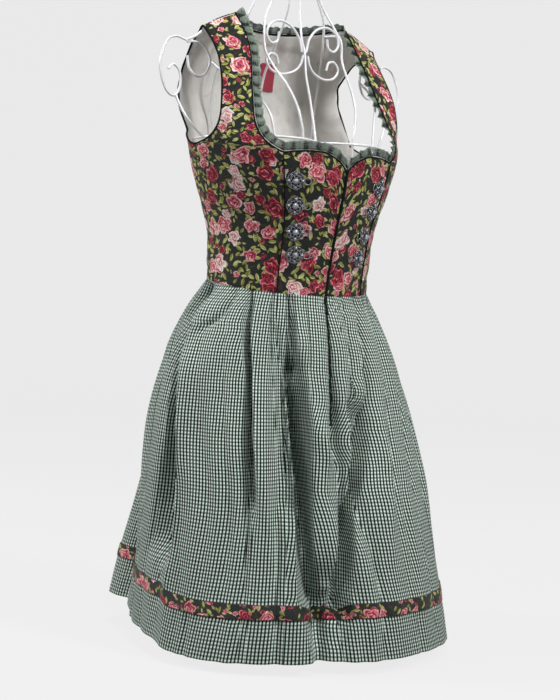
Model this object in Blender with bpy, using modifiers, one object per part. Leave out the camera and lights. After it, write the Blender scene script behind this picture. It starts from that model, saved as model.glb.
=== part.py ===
"""A dirndl dress standing on a white wire dress form.

Metres, +Z up, the dress front faces -Y and the wearer's left is +X.
The origin is the middle of the form's base plate, on the floor.
"""
from math import cos, pi, radians, sin

import bmesh
import bpy
import numpy as np
from mathutils import Matrix, Vector

# ---------------------------------------------------------------- driving dimensions
CLOTH = 0.0015             # thickness of a bodice panel
LINING = 0.0010            # thickness of the lining
SKIRT_CLOTH = 0.0012
RIBBON = 0.0010            # thickness of the ribbon, the closure strip and the placket
SEAM_GAP = 0.0003          # free distance between pieces that are sewn together
GHOST = 1                  # extra columns that give a panel true normals at its seams

WAIST_HEIGHT = 0.5465      # mean height of the waist seam
WAIST_DIP = 0.0165         # the seam is this much lower in front and higher behind

PIPING_RADIUS = 0.0012
PRINCESS_PIPING_RADIUS = 0.0010
RUFFLE_HEIGHT = 0.0125
RUFFLE_SWING = 0.0032      # how far a gather leans to either side at its edge
RUFFLE_WAVES = 56
RUFFLE_STEPS = 4           # points along one gather
RUFFLE_CLOTH = 0.0009
NOTCH_WIDTH = 0.016        # half width of the neckline's notch, where the ruffle is low

RIBBON_TOP = 0.080         # above the hem
RIBBON_BOTTOM = 0.061
PLACKET_ROWS = 5           # skirt rows that the placket runs along
PLACKET_MOUTH = 0.0058     # the placket lies where the pleat is this wide
PLACKET_INSET = 0.0013     # clear of the pleat's sides
PLACKET_LIFT = 0.0010      # how far it stands out of the pleat's mouth
STRIP_SHARE = 0.11         # of the way from the closure to the front panel's next column

LABEL_INNER_EDGE = 0.003   # from the centre back
LABEL_WIDTH = 0.028
LABEL_BOTTOM = 0.861
LABEL_TOP = 0.905

BROOCH_RADIUS = 0.0135
BROOCH_LOBES = 8
EYE_RADIUS = 0.0052        # the small ring beside each brooch
EYE_WIRE = 0.0010

WIRE_RADIUS = 0.0020
BASE_RADIUS = 0.150
BASE_THICKNESS = 0.008
BOSS_RADIUS = 0.024
BOSS_HEIGHT = 0.022
POLE_RADIUS = 0.011
COLLAR_RADIUS = 0.0206
COLLAR_BOTTOM = 0.470
COLLAR_TOP = 0.500
FINIAL_HEIGHT = 1.085

# ---------------------------------------------------------------- tables
# Body sections: height, half width, depth in front, depth behind.
BODY = np.array([
    (0.520, 0.1350, 0.098, 0.097),
    (0.560, 0.1350, 0.103, 0.098),
    (0.595, 0.1355, 0.111, 0.099),
    (0.635, 0.1390, 0.121, 0.100),
    (0.665, 0.1490, 0.130, 0.102),
    (0.690, 0.1580, 0.137, 0.104),
    (0.715, 0.1665, 0.142, 0.106),
    (0.750, 0.1770, 0.144, 0.109),
    (0.795, 0.1830, 0.129, 0.112),
    (0.835, 0.1860, 0.097, 0.114),
    (0.875, 0.1820, 0.070, 0.113),
    (0.915, 0.1720, 0.047, 0.106),
    (0.955, 0.1620, 0.030, 0.090),
])

# Neckline over the centre-front panels: angle from the front in degrees, height.
NECK_FRONT = np.array([
    (0.0, 0.7142), (3.0, 0.7245), (8.0, 0.7320), (14.0, 0.7385),
    (20.0, 0.7395), (30.0, 0.7375), (35.5, 0.7355),
])

PRINCESS_ANGLE = 35.5      # degrees from the front
SIDE_ANGLE = 90.0
BACK_SEAM_ANGLE = 120.0
LOW_ROWS = 7               # rows of every panel below the armholes and the neckline

SIDE_TOP = 0.7490          # the side seam ends at the armhole
# Side-front panel round its two lower corners:
# angle and height on the neckline, angle and height on the armhole.
CORNER_ROWS = [
    (35.5, 0.7355, 90.0, 0.7490),
    (40.6, 0.7434, 78.0, 0.7560),
    (45.2, 0.7560, 73.0, 0.7650),
]
# The strap in front: neckline edge x, y, z, then armhole edge x, y, z.
STRAP_ROWS = [
    (0.1320, -0.0890, 0.7765, 0.1680, -0.0515, 0.7820),
    (0.1275, -0.0750, 0.8050, 0.1655, -0.0530, 0.8130),
    (0.1190, -0.0570, 0.8470, 0.1615, -0.0455, 0.8470),
    (0.1100, -0.0400, 0.8870, 0.1565, -0.0270, 0.8830),
    (0.1055, -0.0170, 0.9240, 0.1570, -0.0060, 0.9110),
    (0.1070, 0.0105, 0.9560, 0.1620, 0.0105, 0.9300),
]
# Side-back panel: share of the way from the side seam to the back seam,
# height of the armhole edge.
SIDE_BACK_TOP = np.array([
    (0.00, 0.7490), (0.25, 0.7515), (0.50, 0.7580), (0.75, 0.7670), (1.00, 0.7780),
])
BACK_CENTRE_TURN = 0.7860  # height at the centre back of the row that ends at the back seam
# Back panel above its seams: height and depth at the centre, then edge x, y, z.
BACK_ROWS = [
    (0.8250, 0.1130, 0.1590, 0.0760, 0.8120),
    (0.8650, 0.1120, 0.1545, 0.0880, 0.8450),
    (0.9020, 0.1065, 0.1500, 0.0840, 0.8780),
    (0.9300, 0.0960, 0.1545, 0.0540, 0.9090),
]
# Upper edge of the back, from the centre to the neck point, along the shoulder seam.
BACK_TOP = [
    (0.0000, 0.0800, 0.9460), (0.0400, 0.0750, 0.9475), (0.0750, 0.0540, 0.9510),
    (0.0970, 0.0280, 0.9545), (0.1070, 0.0110, 0.9560), (0.1345, 0.0110, 0.9450),
    (0.1620, 0.0110, 0.9300),
]
# Skirt sections: share of the length below the waist, half width, front, back.
SKIRT = np.array([
    (0.000, 0.1350, 0.100, 0.0970),
    (0.030, 0.1440, 0.106, 0.1120),
    (0.075, 0.1580, 0.118, 0.1340),
    (0.150, 0.1760, 0.138, 0.1640),
    (0.300, 0.2000, 0.170, 0.1800),
    (0.500, 0.2160, 0.212, 0.2000),
    (0.700, 0.2340, 0.240, 0.2340),
    (0.850, 0.2450, 0.258, 0.2580),
    (1.000, 0.2580, 0.268, 0.2740),
])
# Hem: angle from the front in degrees (the wearer's right is negative), height,
# change of the radius there.
HEM = np.array([
    (-180.0, 0.050, 0.000), (-152.0, 0.048, 0.014), (-138.0, 0.052, 0.010),
    (-132.0, 0.048, -0.010), (-126.0, 0.034, -0.036), (-113.0, 0.033, -0.034),
    (-99.0, 0.030, -0.030), (-82.0, 0.026, -0.012), (-78.0, 0.019, -0.008),
    (-65.0, 0.016, 0.000),
    (-50.0, 0.016, 0.000), (-20.0, 0.019, 0.000), (0.0, 0.018, 0.000),
    (30.0, 0.018, 0.000), (54.0, 0.017, 0.000), (90.0, 0.020, 0.000),
    (120.0, 0.032, 0.000), (150.0, 0.045, 0.004), (180.0, 0.050, 0.000),
])
REACH_START = 0.45         # share of the length where that change begins
# Pleats: angle at the waist, angle at the hem, depth in metres, half width in degrees,
# share of the depth that is left at the hem.
PLEATS = [
    (-169.0, -170.0, 0.010, 3.2, 0.5),
    (-156.0, -157.0, 0.014, 3.4, 0.5),
    (-144.0, -146.0, 0.010, 2.6, 0.6),
    (-131.0, -132.0, 0.030, 2.6, 0.9),
    (-122.0, -114.0, 0.006, 2.6, 0.5),
    (-116.0, -99.0, 0.005, 2.6, 0.5),
    (-107.0, -85.0, 0.017, 4.5, 0.3),
    (-91.0, -73.0, 0.005, 2.6, 0.5),
    (-78.0, -64.0, 0.005, 2.6, 0.5),
    (-66.0, -56.0, 0.005, 2.4, 0.6),
    (-53.0, -49.0, 0.018, 2.4, 0.3),
    (-38.0, -38.0, 0.021, 2.2, 0.2),
    (-28.0, -27.0, 0.027, 2.4, 0.2),
    (-14.0, -21.0, 0.007, 2.0, 0.5),
    (0.0, -15.0, 0.030, 2.4, 0.2),
    (14.0, -8.0, 0.012, 2.2, 0.5),
    (28.0, 0.0, 0.022, 2.4, 0.25),
    (40.0, 14.0, 0.008, 2.8, 0.4),
    (53.0, 30.0, 0.008, 3.0, 0.4),
    (66.0, 47.0, 0.008, 3.0, 0.5),
    (78.0, 63.0, 0.009, 3.2, 0.5),
    (92.0, 80.0, 0.009, 3.2, 0.5),
    (105.0, 97.0, 0.012, 3.4, 0.5),
    (118.0, 114.0, 0.010, 3.0, 0.5),
    (131.0, 130.0, 0.014, 3.4, 0.5),
    (144.0, 145.0, 0.010, 3.0, 0.5),
    (158.0, 160.0, 0.013, 3.2, 0.5),
    (172.0, 174.0, 0.010, 2.8, 0.5),
]
FADE_START = 0.5           # share of the length where the pleats begin to flatten
CENTRE_PLEAT = 14          # the row of the pleat that holds the placket
# How deep the pleats are down the skirt: share of the length, share of the depth.
PLEAT_GROWTH = np.array([
    (0.00, 0.16), (0.03, 0.24), (0.10, 0.50), (0.30, 0.95), (0.60, 1.00),
    (0.85, 0.85), (1.00, 0.70),
])
SKIRT_LEVELS = [0.0, 0.03, 0.09, 0.19, 0.37, 0.60]    # rows above the ribbon

# Brooches on each side of the closure: angle from the front, height, angle of the eye.
BROOCHES = [
    (29.4, 0.6970, 22.0),
    (29.2, 0.6615, 21.6),
    (28.0, 0.6235, 19.6),
    (26.2, 0.5900, 17.4),
]

# Wires of the form. One list per wire: x, y, z; pairs are mirrored to -X.
CENTRE_FRONT_WIRE = [
    (0, -0.006, 1.0847), (0, -0.010, 0.985), (0, -0.017, 0.930), (0, -0.0265, 0.905),
    (0, -0.032, 0.868), (0, -0.046, 0.825), (0, -0.062, 0.762), (0, -0.068, 0.700),
    (0, -0.065, 0.600), (0, -0.050, 0.530), (0, -0.0225, 0.485),
]
CENTRE_BACK_WIRE = [
    (0, 0.006, 1.0847), (0, 0.018, 0.985), (0, 0.048, 0.930), (0, 0.080, 0.880),
    (0, 0.094, 0.820), (0, 0.0885, 0.762), (0, 0.078, 0.650), (0, 0.060, 0.540),
    (0, 0.0225, 0.485),
]
FRONT_WIRE = [
    (0.0060, -0.001, 1.0847), (0.042, -0.004, 0.995), (0.064, -0.012, 0.955),
    (0.0735, -0.022, 0.930), (0.0735, -0.026, 0.900), (0.069, -0.045, 0.872),
    (0.062, -0.068, 0.845), (0.056, -0.086, 0.815), (0.050, -0.0925, 0.785),
    (0.047, -0.0925, 0.762), (0.049, -0.088, 0.690), (0.047, -0.068, 0.590),
    (0.043, -0.0536, 0.545), (0.036, -0.041, 0.520), (0.0165, -0.0150, 0.485),
]
SIDE_WIRE = [
    (0.1412, 0.0143, 0.8775), (0.1380, -0.0100, 0.8620), (0.1280, -0.0400, 0.8450),
    (0.1120, -0.0640, 0.8230), (0.0980, -0.0790, 0.7950), (0.0913, -0.0856, 0.7540),
]
BACK_WIRE = [
    (0.0045, 0.0045, 1.0847), (0.050, 0.018, 1.010), (0.070, 0.021, 0.968),
    (0.080, 0.034, 0.930), (0.095, 0.062, 0.885), (0.100, 0.078, 0.830),
    (0.092, 0.0765, 0.762), (0.078, 0.068, 0.660), (0.058, 0.049, 0.550),
    (0.0160, 0.0160, 0.485),
]
CHEST_RING = [
    (0, -0.0665, 0.762), (0.022, -0.0850, 0.762), (0.047, -0.0980, 0.762),
    (0.070, -0.0985, 0.762), (0.092, -0.0908, 0.762), (0.128, -0.0640, 0.762),
    (0.153, -0.0300, 0.762), (0.1630, 0.0000, 0.762), (0.156, 0.0360, 0.762),
    (0.130, 0.0680, 0.762), (0.094, 0.0815, 0.762), (0.045, 0.0915, 0.762),
    (0, 0.0935, 0.762),
]
WAIST_RING = [
    (0, -0.0600, 0.545), (0.052, -0.0575, 0.545), (0.098, -0.0200, 0.545),
    (0.104, 0.0100, 0.545), (0.088, 0.0450, 0.545), (0.055, 0.0600, 0.545),
    (0, 0.0675, 0.545),
]
UPPER_SCROLL = [
    (0.0042, -0.0250, 0.905), (0.0100, -0.0240, 0.926), (0.0260, -0.0230, 0.943),
    (0.0470, -0.0220, 0.948), (0.0640, -0.0220, 0.939), (0.0685, -0.0220, 0.924),
    (0.0600, -0.0220, 0.913), (0.0490, -0.0220, 0.917), (0.0460, -0.0220, 0.931),
]
LOWER_SCROLL = [
    (0.0042, -0.0290, 0.899), (0.0090, -0.0285, 0.884), (0.0200, -0.0270, 0.873),
    (0.0400, -0.0250, 0.867), (0.0590, -0.0240, 0.871), (0.0685, -0.0230, 0.884),
    (0.0610, -0.0220, 0.896), (0.0500, -0.0220, 0.894), (0.0460, -0.0220, 0.882),
]
SHOULDER_WIRE = [
    (0.0773, 0.0255, 0.9445), (0.0880, 0.0165, 0.9455), (0.1060, 0.0130, 0.9472),
    (0.1345, 0.0130, 0.9372), (0.1600, 0.0130, 0.9227), (0.1740, 0.0145, 0.9120),
    (0.1840, 0.0175, 0.9070),
]
SHOULDER_LOOP = [
    (0.1859, 0.0181, 0.9056), (0.2020, 0.0230, 0.9100), (0.2180, 0.0230, 0.9000),
    (0.2290, 0.0210, 0.8650), (0.2200, 0.0200, 0.8320), (0.2050, 0.0200, 0.8210),
    (0.1940, 0.0200, 0.8350), (0.1950, 0.0210, 0.8580), (0.2050, 0.0220, 0.8680),
    (0.2140, 0.0220, 0.8600),
]
SHOULDER_CURL = [
    (0.1832, 0.0203, 0.9035), (0.1700, 0.0230, 0.9060), (0.1530, 0.0200, 0.9000),
    (0.1440, 0.0170, 0.8800), (0.1510, 0.0170, 0.8600), (0.1660, 0.0180, 0.8540),
    (0.1790, 0.0190, 0.8640), (0.1830, 0.0200, 0.8830),
]
SHOULDER_BRACE = [
    (0.2014, 0.0194, 0.8212), (0.1900, 0.0120, 0.7950), (0.1740, 0.0040, 0.7730),
    (0.1652, -0.0002, 0.7633),
]

# ---------------------------------------------------------------- scene and materials
for old in list(bpy.data.objects):
    bpy.data.objects.remove(old, do_unlink=True)

dress = bpy.data.collections.new("dirndl_dress_on_wire_form")
bpy.context.scene.collection.children.link(dress)


def material(name, colour, roughness, metallic=0.0):
    """A Principled material."""
    made = bpy.data.materials.new(name)
    made.use_nodes = True
    shader = made.node_tree.nodes["Principled BSDF"]
    shader.inputs["Base Color"].default_value = (*colour, 1.0)
    shader.inputs["Roughness"].default_value = roughness
    shader.inputs["Metallic"].default_value = metallic
    return made


ROSE_PRINT = material("rose_print", (0.060, 0.035, 0.032), 0.85)
GINGHAM = material("gingham", (0.150, 0.190, 0.165), 0.85)
LINING_CLOTH = material("lining_cloth", (0.560, 0.540, 0.520), 0.80)
BLACK_PIPING = material("black_piping", (0.012, 0.016, 0.014), 0.70)
GREEN_LACE = material("green_lace", (0.110, 0.145, 0.120), 0.85)
ROSE_RIBBON = material("rose_ribbon", (0.080, 0.035, 0.032), 0.80)
RED_LABEL = material("red_label", (0.380, 0.012, 0.050), 0.70)
OLD_SILVER = material("old_silver", (0.400, 0.400, 0.390), 0.35, 1.0)
WHITE_PAINT = material("white_paint", (0.800, 0.800, 0.810), 0.40)


# ---------------------------------------------------------------- small helpers
def spline(rows, count):
    """Catmull-Rom curve through the rows, sampled evenly by row number."""
    rows = np.array(rows, float)
    ends = np.vstack([2 * rows[0] - rows[1], rows, 2 * rows[-1] - rows[-2]])
    samples = []
    for place in np.linspace(0, len(rows) - 1, count):
        start = min(int(place), len(rows) - 2)
        t = place - start
        a, b, c, d = ends[start:start + 4]
        bend = (2 * a - 5 * b + 4 * c - d) * t * t + (3 * b - a - 3 * c + d) * t ** 3
        samples.append(0.5 * (2 * b + (c - a) * t + bend))
    return np.array(samples)


def look_up(table, value):
    """The table's other columns at a value of its first column."""
    return [np.interp(value, table[:, 0], table[:, k]) for k in range(1, table.shape[1])]


def unit(vectors):
    """Vectors of length 1."""
    return vectors / np.maximum(np.linalg.norm(vectors, axis=-1, keepdims=True), 1e-12)


def mirrored(points):
    """The same points on the wearer's other side."""
    return np.array(points, float) * (-1, 1, 1)


def normals_of(grid, ring=False):
    """Unit normals of a grid of points, from its neighbours."""
    if ring:
        across = np.roll(grid, -1, axis=1) - np.roll(grid, 1, axis=1)
    else:
        across = np.gradient(grid, axis=1)
    along = np.gradient(grid, axis=0)
    return unit(np.cross(across, along))


def finish(name, mesh_data, look, smooth=True):
    """Turn a bmesh into a named object of the dress, with its faces pointing out."""
    bmesh.ops.recalc_face_normals(mesh_data, faces=mesh_data.faces)
    if mesh_data.calc_volume(signed=True) < 0:
        bmesh.ops.reverse_faces(mesh_data, faces=mesh_data.faces)
    mesh = bpy.data.meshes.new(name)
    mesh_data.to_mesh(mesh)
    mesh_data.free()
    mesh.materials.append(look)
    if smooth:
        mesh.shade_smooth()
        mesh.set_sharp_from_angle(angle=radians(50))
    made = bpy.data.objects.new(name, mesh)
    dress.objects.link(made)
    return made


def wall(name, outer, inner, look, ring=False):
    """A closed wall lofted between two grids of points, rows by columns."""
    rows, columns = outer.shape[:2]
    shell = bmesh.new()
    sides = []
    for grid in (outer, inner):
        sides.append([[shell.verts.new(point) for point in row] for row in grid])
    steps = columns if ring else columns - 1
    for row in range(rows - 1):
        for column in range(steps):
            after = (column + 1) % columns
            for side in sides:
                shell.faces.new((side[row][column], side[row][after],
                                 side[row + 1][after], side[row + 1][column]))
    for row in (0, rows - 1):
        for column in range(steps):
            after = (column + 1) % columns
            shell.faces.new((sides[0][row][column], sides[0][row][after],
                             sides[1][row][after], sides[1][row][column]))
    if not ring:
        for column in (0, columns - 1):
            for row in range(rows - 1):
                shell.faces.new((sides[0][row][column], sides[0][row + 1][column],
                                 sides[1][row + 1][column], sides[1][row][column]))
    return finish(name, shell, look)


def tube(name, points, radius, look, ring=False, resolution=1):
    """A wire or cord: a curve object with a round section and filled caps."""
    curve = bpy.data.curves.new(name, "CURVE")
    curve.dimensions = "3D"
    curve.bevel_depth = radius
    curve.bevel_resolution = resolution
    curve.use_fill_caps = True
    path = curve.splines.new("POLY")
    path.points.add(len(points) - 1)
    for place, point in zip(path.points, points):
        place.co = (*point, 1.0)
    path.use_cyclic_u = ring
    path.use_smooth = True
    curve.materials.append(look)
    made = bpy.data.objects.new(name, curve)
    dress.objects.link(made)
    return made


def cylinder(name, radius, bottom, top, look, sides=32, bevel=0.001):
    """An upright cylinder on the centre axis with softened rims."""
    solid = bmesh.new()
    place = Matrix.Translation((0, 0, (bottom + top) / 2))
    bmesh.ops.create_cone(solid, cap_ends=True, segments=sides, radius1=radius,
                          radius2=radius, depth=top - bottom, matrix=place)
    made = finish(name, solid, look)
    soften = made.modifiers.new("soft_rims", "BEVEL")
    soften.width = bevel
    soften.segments = 1
    return made


# ---------------------------------------------------------------- the body's surface
BODY_FINE = spline(BODY, 121)
BODY_FINE = BODY_FINE[np.argsort(BODY_FINE[:, 0])]


def on_body(angle, height):
    """Points of the body's outside at angles from the front (degrees) and heights."""
    angle = np.radians(np.asarray(angle, float))
    height = np.asarray(height, float) + 0 * angle
    half_width, front, back = look_up(BODY_FINE, height)
    depth = np.where(np.cos(angle) > 0, front, back)
    return np.stack([half_width * np.sin(angle), -depth * np.cos(angle), height], -1)


def body_angle(point):
    """Angle from the front, in degrees, at which a point lies."""
    half_width, front, back = look_up(BODY_FINE, point[2])
    depth = front if point[1] < 0 else back
    return np.degrees(np.arctan2(point[0] / half_width, -point[1] / depth))


def waist(angle):
    """Height of the waist seam at an angle from the front."""
    return WAIST_HEIGHT - WAIST_DIP * np.cos(np.radians(angle))


def across(first, last, shares):
    """A row between two edge points, curved as the body is between them."""
    shares = np.asarray(shares, float)
    angles = body_angle(first) + shares * (body_angle(last) - body_angle(first))
    row = on_body(angles, first[2] + shares * (last[2] - first[2]))
    start = on_body(body_angle(first), first[2])
    end = on_body(body_angle(last), last[2])
    return row + np.outer(1 - shares, first - start) + np.outer(shares, last - end)


def ghosted(count):
    """Shares across a panel of so many columns, with a ghost column past each seam."""
    step = 1.0 / (count - 1)
    return np.arange(-GHOST, count + GHOST) * step


def panel_walls(grid, depth, thickness, ridge=0):
    """Outer and inner points of a wall that lies a depth under a ghosted grid.

    At a ridge, the last so many columns of the top row have upright normals, so that
    the walls on both sides of a shoulder seam end in one plane.
    """
    normals = normals_of(grid)
    for column in ridge_columns(grid.shape[1], ridge):
        normals[-1, column] = unit(normals[-1, column] * (1, 0, 1))
    keep = slice(GHOST, grid.shape[1] - GHOST)
    outer = (grid - normals * depth)[:, keep]
    inner = (grid - normals * (depth + thickness))[:, keep]
    return outer, inner


def ridge_columns(count, ridge):
    """The outermost columns at both ends of a row, ghosts included."""
    return list(range(ridge)) + list(range(count - ridge, count))


def narrowed(first, last, gap):
    """Two edge points moved towards each other by half a gap each."""
    step = unit(last - first) * gap / 2
    return first + step, last - step


# ---------------------------------------------------------------- bodice panels
def low_block(angles, top):
    """Rows on the body from the waist seam up to a height for each angle."""
    bottom = waist(angles) + SEAM_GAP / 2
    up = np.linspace(0, 1, LOW_ROWS)[:, None]
    return on_body(angles[None, :] + 0 * up, bottom + up * (top - bottom))


def seam_angles(first, last, columns):
    """Ghosted angles across a panel, half a gap clear of its seams."""
    half_gap = np.degrees(SEAM_GAP / 2 / 0.14)
    start, stop = first + half_gap, last - half_gap
    return start + ghosted(columns) * (stop - start)


def front_grid(columns):
    """Centre-front panel of the wearer's left, from the closure to the princess seam."""
    angles = seam_angles(0.0, PRINCESS_ANGLE, columns)
    return low_block(angles, look_up(NECK_FRONT, np.abs(angles))[0])


def side_front_grid(columns, upper_rows):
    """Side-front panel of the wearer's left with its strap, up to the shoulder seam."""
    angles = seam_angles(PRINCESS_ANGLE, SIDE_ANGLE, columns)
    neck_end = look_up(NECK_FRONT, PRINCESS_ANGLE)[0]
    low = low_block(angles, neck_end + ghosted(columns) * (SIDE_TOP - neck_end))
    edges = [np.concatenate([on_body(angle_1, height_1), on_body(angle_2, height_2)])
             for angle_1, height_1, angle_2, height_2 in CORNER_ROWS]
    edges += [np.array(row) for row in STRAP_ROWS]
    upper = [across(*narrowed(edge[:3], edge[3:], SEAM_GAP), ghosted(columns))
             for edge in spline(edges, upper_rows)[1:]]
    return np.concatenate([low, upper])


def side_back_grid(columns):
    """Side-back panel of the wearer's left, from the side seam to the back seam."""
    angles = seam_angles(SIDE_ANGLE, BACK_SEAM_ANGLE, columns)
    shares = np.clip(ghosted(columns), 0, 1)
    return low_block(angles, look_up(SIDE_BACK_TOP, shares)[0])


def back_half_rows(shares):
    """Rows of the back's half, at shares from the centre to its edge, bottom to top."""
    half_gap = np.degrees(SEAM_GAP / 2 / 0.14)
    angles = 180.0 - shares * (180.0 - BACK_SEAM_ANGLE - half_gap)
    turn = BACK_CENTRE_TURN + shares * (SIDE_BACK_TOP[-1, 1] - BACK_CENTRE_TURN)
    rows = list(low_block(angles, turn))
    for height, depth, x, y, z in BACK_ROWS:
        rows.append(across(np.array((0.0, depth, height)), np.array((x, y, z)), shares))
    top = np.array(BACK_TOP)
    places = np.linspace(0, 1, len(top))
    upper = np.stack([np.interp(shares, places, top[:, k]) for k in range(3)], -1)
    beyond = shares > 1
    upper[beyond] = top[-1] + np.outer(shares[beyond] - 1, top[-1] - top[-2]) * (len(top) - 1)
    rows.append(0.55 * rows[-1] + 0.45 * upper)
    rows.append(upper)
    return np.array(rows)


def back_grid(half_columns):
    """The whole back panel, its columns going from the wearer's left to the right."""
    step = 1.0 / (half_columns - 1)
    shares = np.arange(0, half_columns + GHOST) * step
    half = back_half_rows(shares)
    return np.concatenate([half[:, :0:-1], half * (-1, 1, 1)], axis=1)


FRONT = front_grid(6)
SIDE_FRONT = side_front_grid(6, 13)
SIDE_BACK = side_back_grid(5)
BACK = back_grid(7)
NECK_COLUMNS = 4           # of the back's half that lie on the neckline
BACK_RIDGE = 3 + GHOST     # columns of the back that lie on the shoulder seam
LINING_DEPTH = CLOTH + SEAM_GAP


def panel_pair(stem, grid, depth, thickness, look, ridge=0):
    """A panel of the wearer's left and its mirror image on the right."""
    outer, inner = panel_walls(grid, depth, thickness, ridge)
    wall(stem + "_left", outer, inner, look)
    wall(stem + "_right", mirrored(outer), mirrored(inner), look)


def build_bodice():
    """Front, side-front, side-back and back panels, with the lining behind."""
    panel_pair("bodice_front", FRONT, 0, CLOTH, ROSE_PRINT)
    panel_pair("bodice_side_front", SIDE_FRONT, 0, CLOTH, ROSE_PRINT, SIDE_FRONT.shape[1])
    panel_pair("bodice_side_back", SIDE_BACK, 0, CLOTH, ROSE_PRINT)
    panel_pair("lining_side_back", SIDE_BACK, LINING_DEPTH, LINING, LINING_CLOTH)
    wall("bodice_back", *panel_walls(BACK, 0, CLOTH, BACK_RIDGE), ROSE_PRINT)
    wall("lining_back", *panel_walls(BACK, LINING_DEPTH, LINING, BACK_RIDGE), LINING_CLOTH)


def build_label():
    """The bare label on the back lining, on the wearer's left of the centre."""
    half_width = BACK_TOP[-1][0]
    start = LABEL_INNER_EDGE / half_width
    columns = np.linspace(start, start + LABEL_WIDTH / half_width, 4)
    back = back_half_rows(columns)
    grid = np.array([[[np.interp(height, back[:, c, 2], back[:, c, k]) for k in range(3)]
                      for c in range(len(columns))]
                     for height in np.linspace(LABEL_BOTTOM, LABEL_TOP, 4)])
    normals = -normals_of(grid)
    near = CLOTH + LINING + 3 * SEAM_GAP
    wall("label", grid - normals * near, grid - normals * (near + LINING), RED_LABEL)


def build_closure():
    """The black strip over the front closure."""
    edge = FRONT[:, GHOST] + STRIP_SHARE * (FRONT[:, GHOST + 1] - FRONT[:, GHOST])
    middle = FRONT[:, GHOST] * (0, 1, 1)
    grid = np.stack([mirrored(edge), middle, edge], axis=1)
    grid[-1, :, 2] -= SEAM_GAP
    normals = normals_of(grid)
    wall("closure_strip", grid + normals * (SEAM_GAP + RIBBON), grid + normals * SEAM_GAP,
         BLACK_PIPING)


# ---------------------------------------------------------------- piping and ruffle
def neck_path():
    """Neckline of the wearer's left from the closure to the centre back, with normals."""
    middle = BACK.shape[1] // 2
    neck = slice(middle - NECK_COLUMNS, middle + 1)
    points = np.concatenate([FRONT[-1, GHOST:-GHOST], SIDE_FRONT[LOW_ROWS:-1, GHOST],
                             BACK[-1, neck]])
    normals = np.concatenate([normals_of(FRONT)[-1, GHOST:-GHOST],
                              normals_of(SIDE_FRONT)[LOW_ROWS:-1, GHOST],
                              normals_of(BACK)[-1, neck]])
    return points, normals


def armhole_path():
    """Armhole of the wearer's left, from the shoulder down the front and up the back."""
    last = -1 - GHOST
    points = np.concatenate([SIDE_FRONT[LOW_ROWS - 1:, last][::-1],
                             SIDE_BACK[-1, GHOST + 1:last], BACK[LOW_ROWS - 1:-1, GHOST]])
    normals = np.concatenate([normals_of(SIDE_FRONT)[LOW_ROWS - 1:, last][::-1],
                              normals_of(SIDE_BACK)[-1, GHOST + 1:last],
                              normals_of(BACK)[LOW_ROWS - 1:-1, GHOST]])
    return points, normals


def resampled(points, extra, count, ring):
    """Points and a second list, spaced evenly along the path."""
    if ring:
        points = np.vstack([points, points[:1]])
        extra = np.vstack([extra, extra[:1]])
    length = np.concatenate([[0], np.cumsum(np.linalg.norm(np.diff(points, axis=0), axis=1))])
    places = np.linspace(0, length[-1], count, endpoint=not ring)
    both = np.hstack([points, extra])
    even = np.stack([np.interp(places, length, both[:, k]) for k in range(6)], -1)
    return even[:, :3], unit(even[:, 3:])


def smoothed(vectors, passes):
    """Directions around a closed path with their corners eased."""
    for _ in range(passes):
        vectors = unit(np.roll(vectors, 1, axis=0) + 2 * vectors + np.roll(vectors, -1, axis=0))
    return vectors


def outward(points, normals):
    """In-surface directions that leave the panel, for a path seen with it on the right."""
    tangents = unit(np.roll(points, -1, axis=0) - np.roll(points, 1, axis=0))
    return unit(np.cross(normals, tangents))


def neck_ring(count):
    """The whole neckline as a closed path: points, normals and outward directions."""
    left_points, left_normals = neck_path()
    right_points = mirrored(left_points)[::-1][1:]
    right_normals = mirrored(left_normals)[::-1][1:]
    points, normals = resampled(np.vstack([left_points, right_points]),
                                np.vstack([left_normals, right_normals]), count, True)
    normals = smoothed(normals, 2)
    return points, normals, outward(points, normals)


def build_piping():
    """Dark piping on the neckline, the armholes and the princess seams."""
    clear = PIPING_RADIUS + 2.8 * SEAM_GAP
    points, normals, away = neck_ring(84)
    tube("piping_neck", points - normals * CLOTH / 2 + away * clear, PIPING_RADIUS,
         BLACK_PIPING, ring=True, resolution=0)
    points, normals = resampled(*armhole_path(), 32, True)
    normals = smoothed(normals, 2)
    path = points - normals * CLOTH / 2 + outward(points, normals) * clear
    tube("piping_armhole_left", path, PIPING_RADIUS, BLACK_PIPING, ring=True, resolution=0)
    tube("piping_armhole_right", mirrored(path), PIPING_RADIUS, BLACK_PIPING, ring=True,
         resolution=0)
    seam, normals = FRONT[:, -1 - GHOST], normals_of(FRONT)[:, -1 - GHOST]
    path = seam + normals * (PRINCESS_PIPING_RADIUS + 1.6 * SEAM_GAP)
    path[-1] -= unit(path[-1] - path[-2]) * 2 * PIPING_RADIUS
    tube("piping_princess_left", path, PRINCESS_PIPING_RADIUS, BLACK_PIPING, resolution=0)
    tube("piping_princess_right", mirrored(path), PRINCESS_PIPING_RADIUS, BLACK_PIPING,
         resolution=0)


def build_ruffle():
    """The gathered lace that stands up from the neckline all the way round."""
    count = RUFFLE_WAVES * RUFFLE_STEPS
    points, normals, away = neck_ring(count)
    base = points - normals * CLOTH / 2 + away * (2 * PIPING_RADIUS + 6 * SEAM_GAP)
    phase = 2 * pi * (np.arange(count) + 0.5) / RUFFLE_STEPS
    swing = np.sin(phase)[:, None] * RUFFLE_SWING
    notch = np.exp(-(points[:, 0] / NOTCH_WIDTH) ** 2) * (points[:, 1] < 0)
    height = RUFFLE_HEIGHT * (1 - 0.45 * notch)
    up = unit(smoothed(away, 8) + np.outer(0.9 * notch, (0, 0, 1)))
    grid = np.array([base, base + smoothed(normals, 6) * swing + up * height[:, None]])
    sideways = normals * RUFFLE_CLOTH / 2
    wall("ruffle_neck", grid + sideways, grid - sideways, GREEN_LACE, ring=True)


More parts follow.
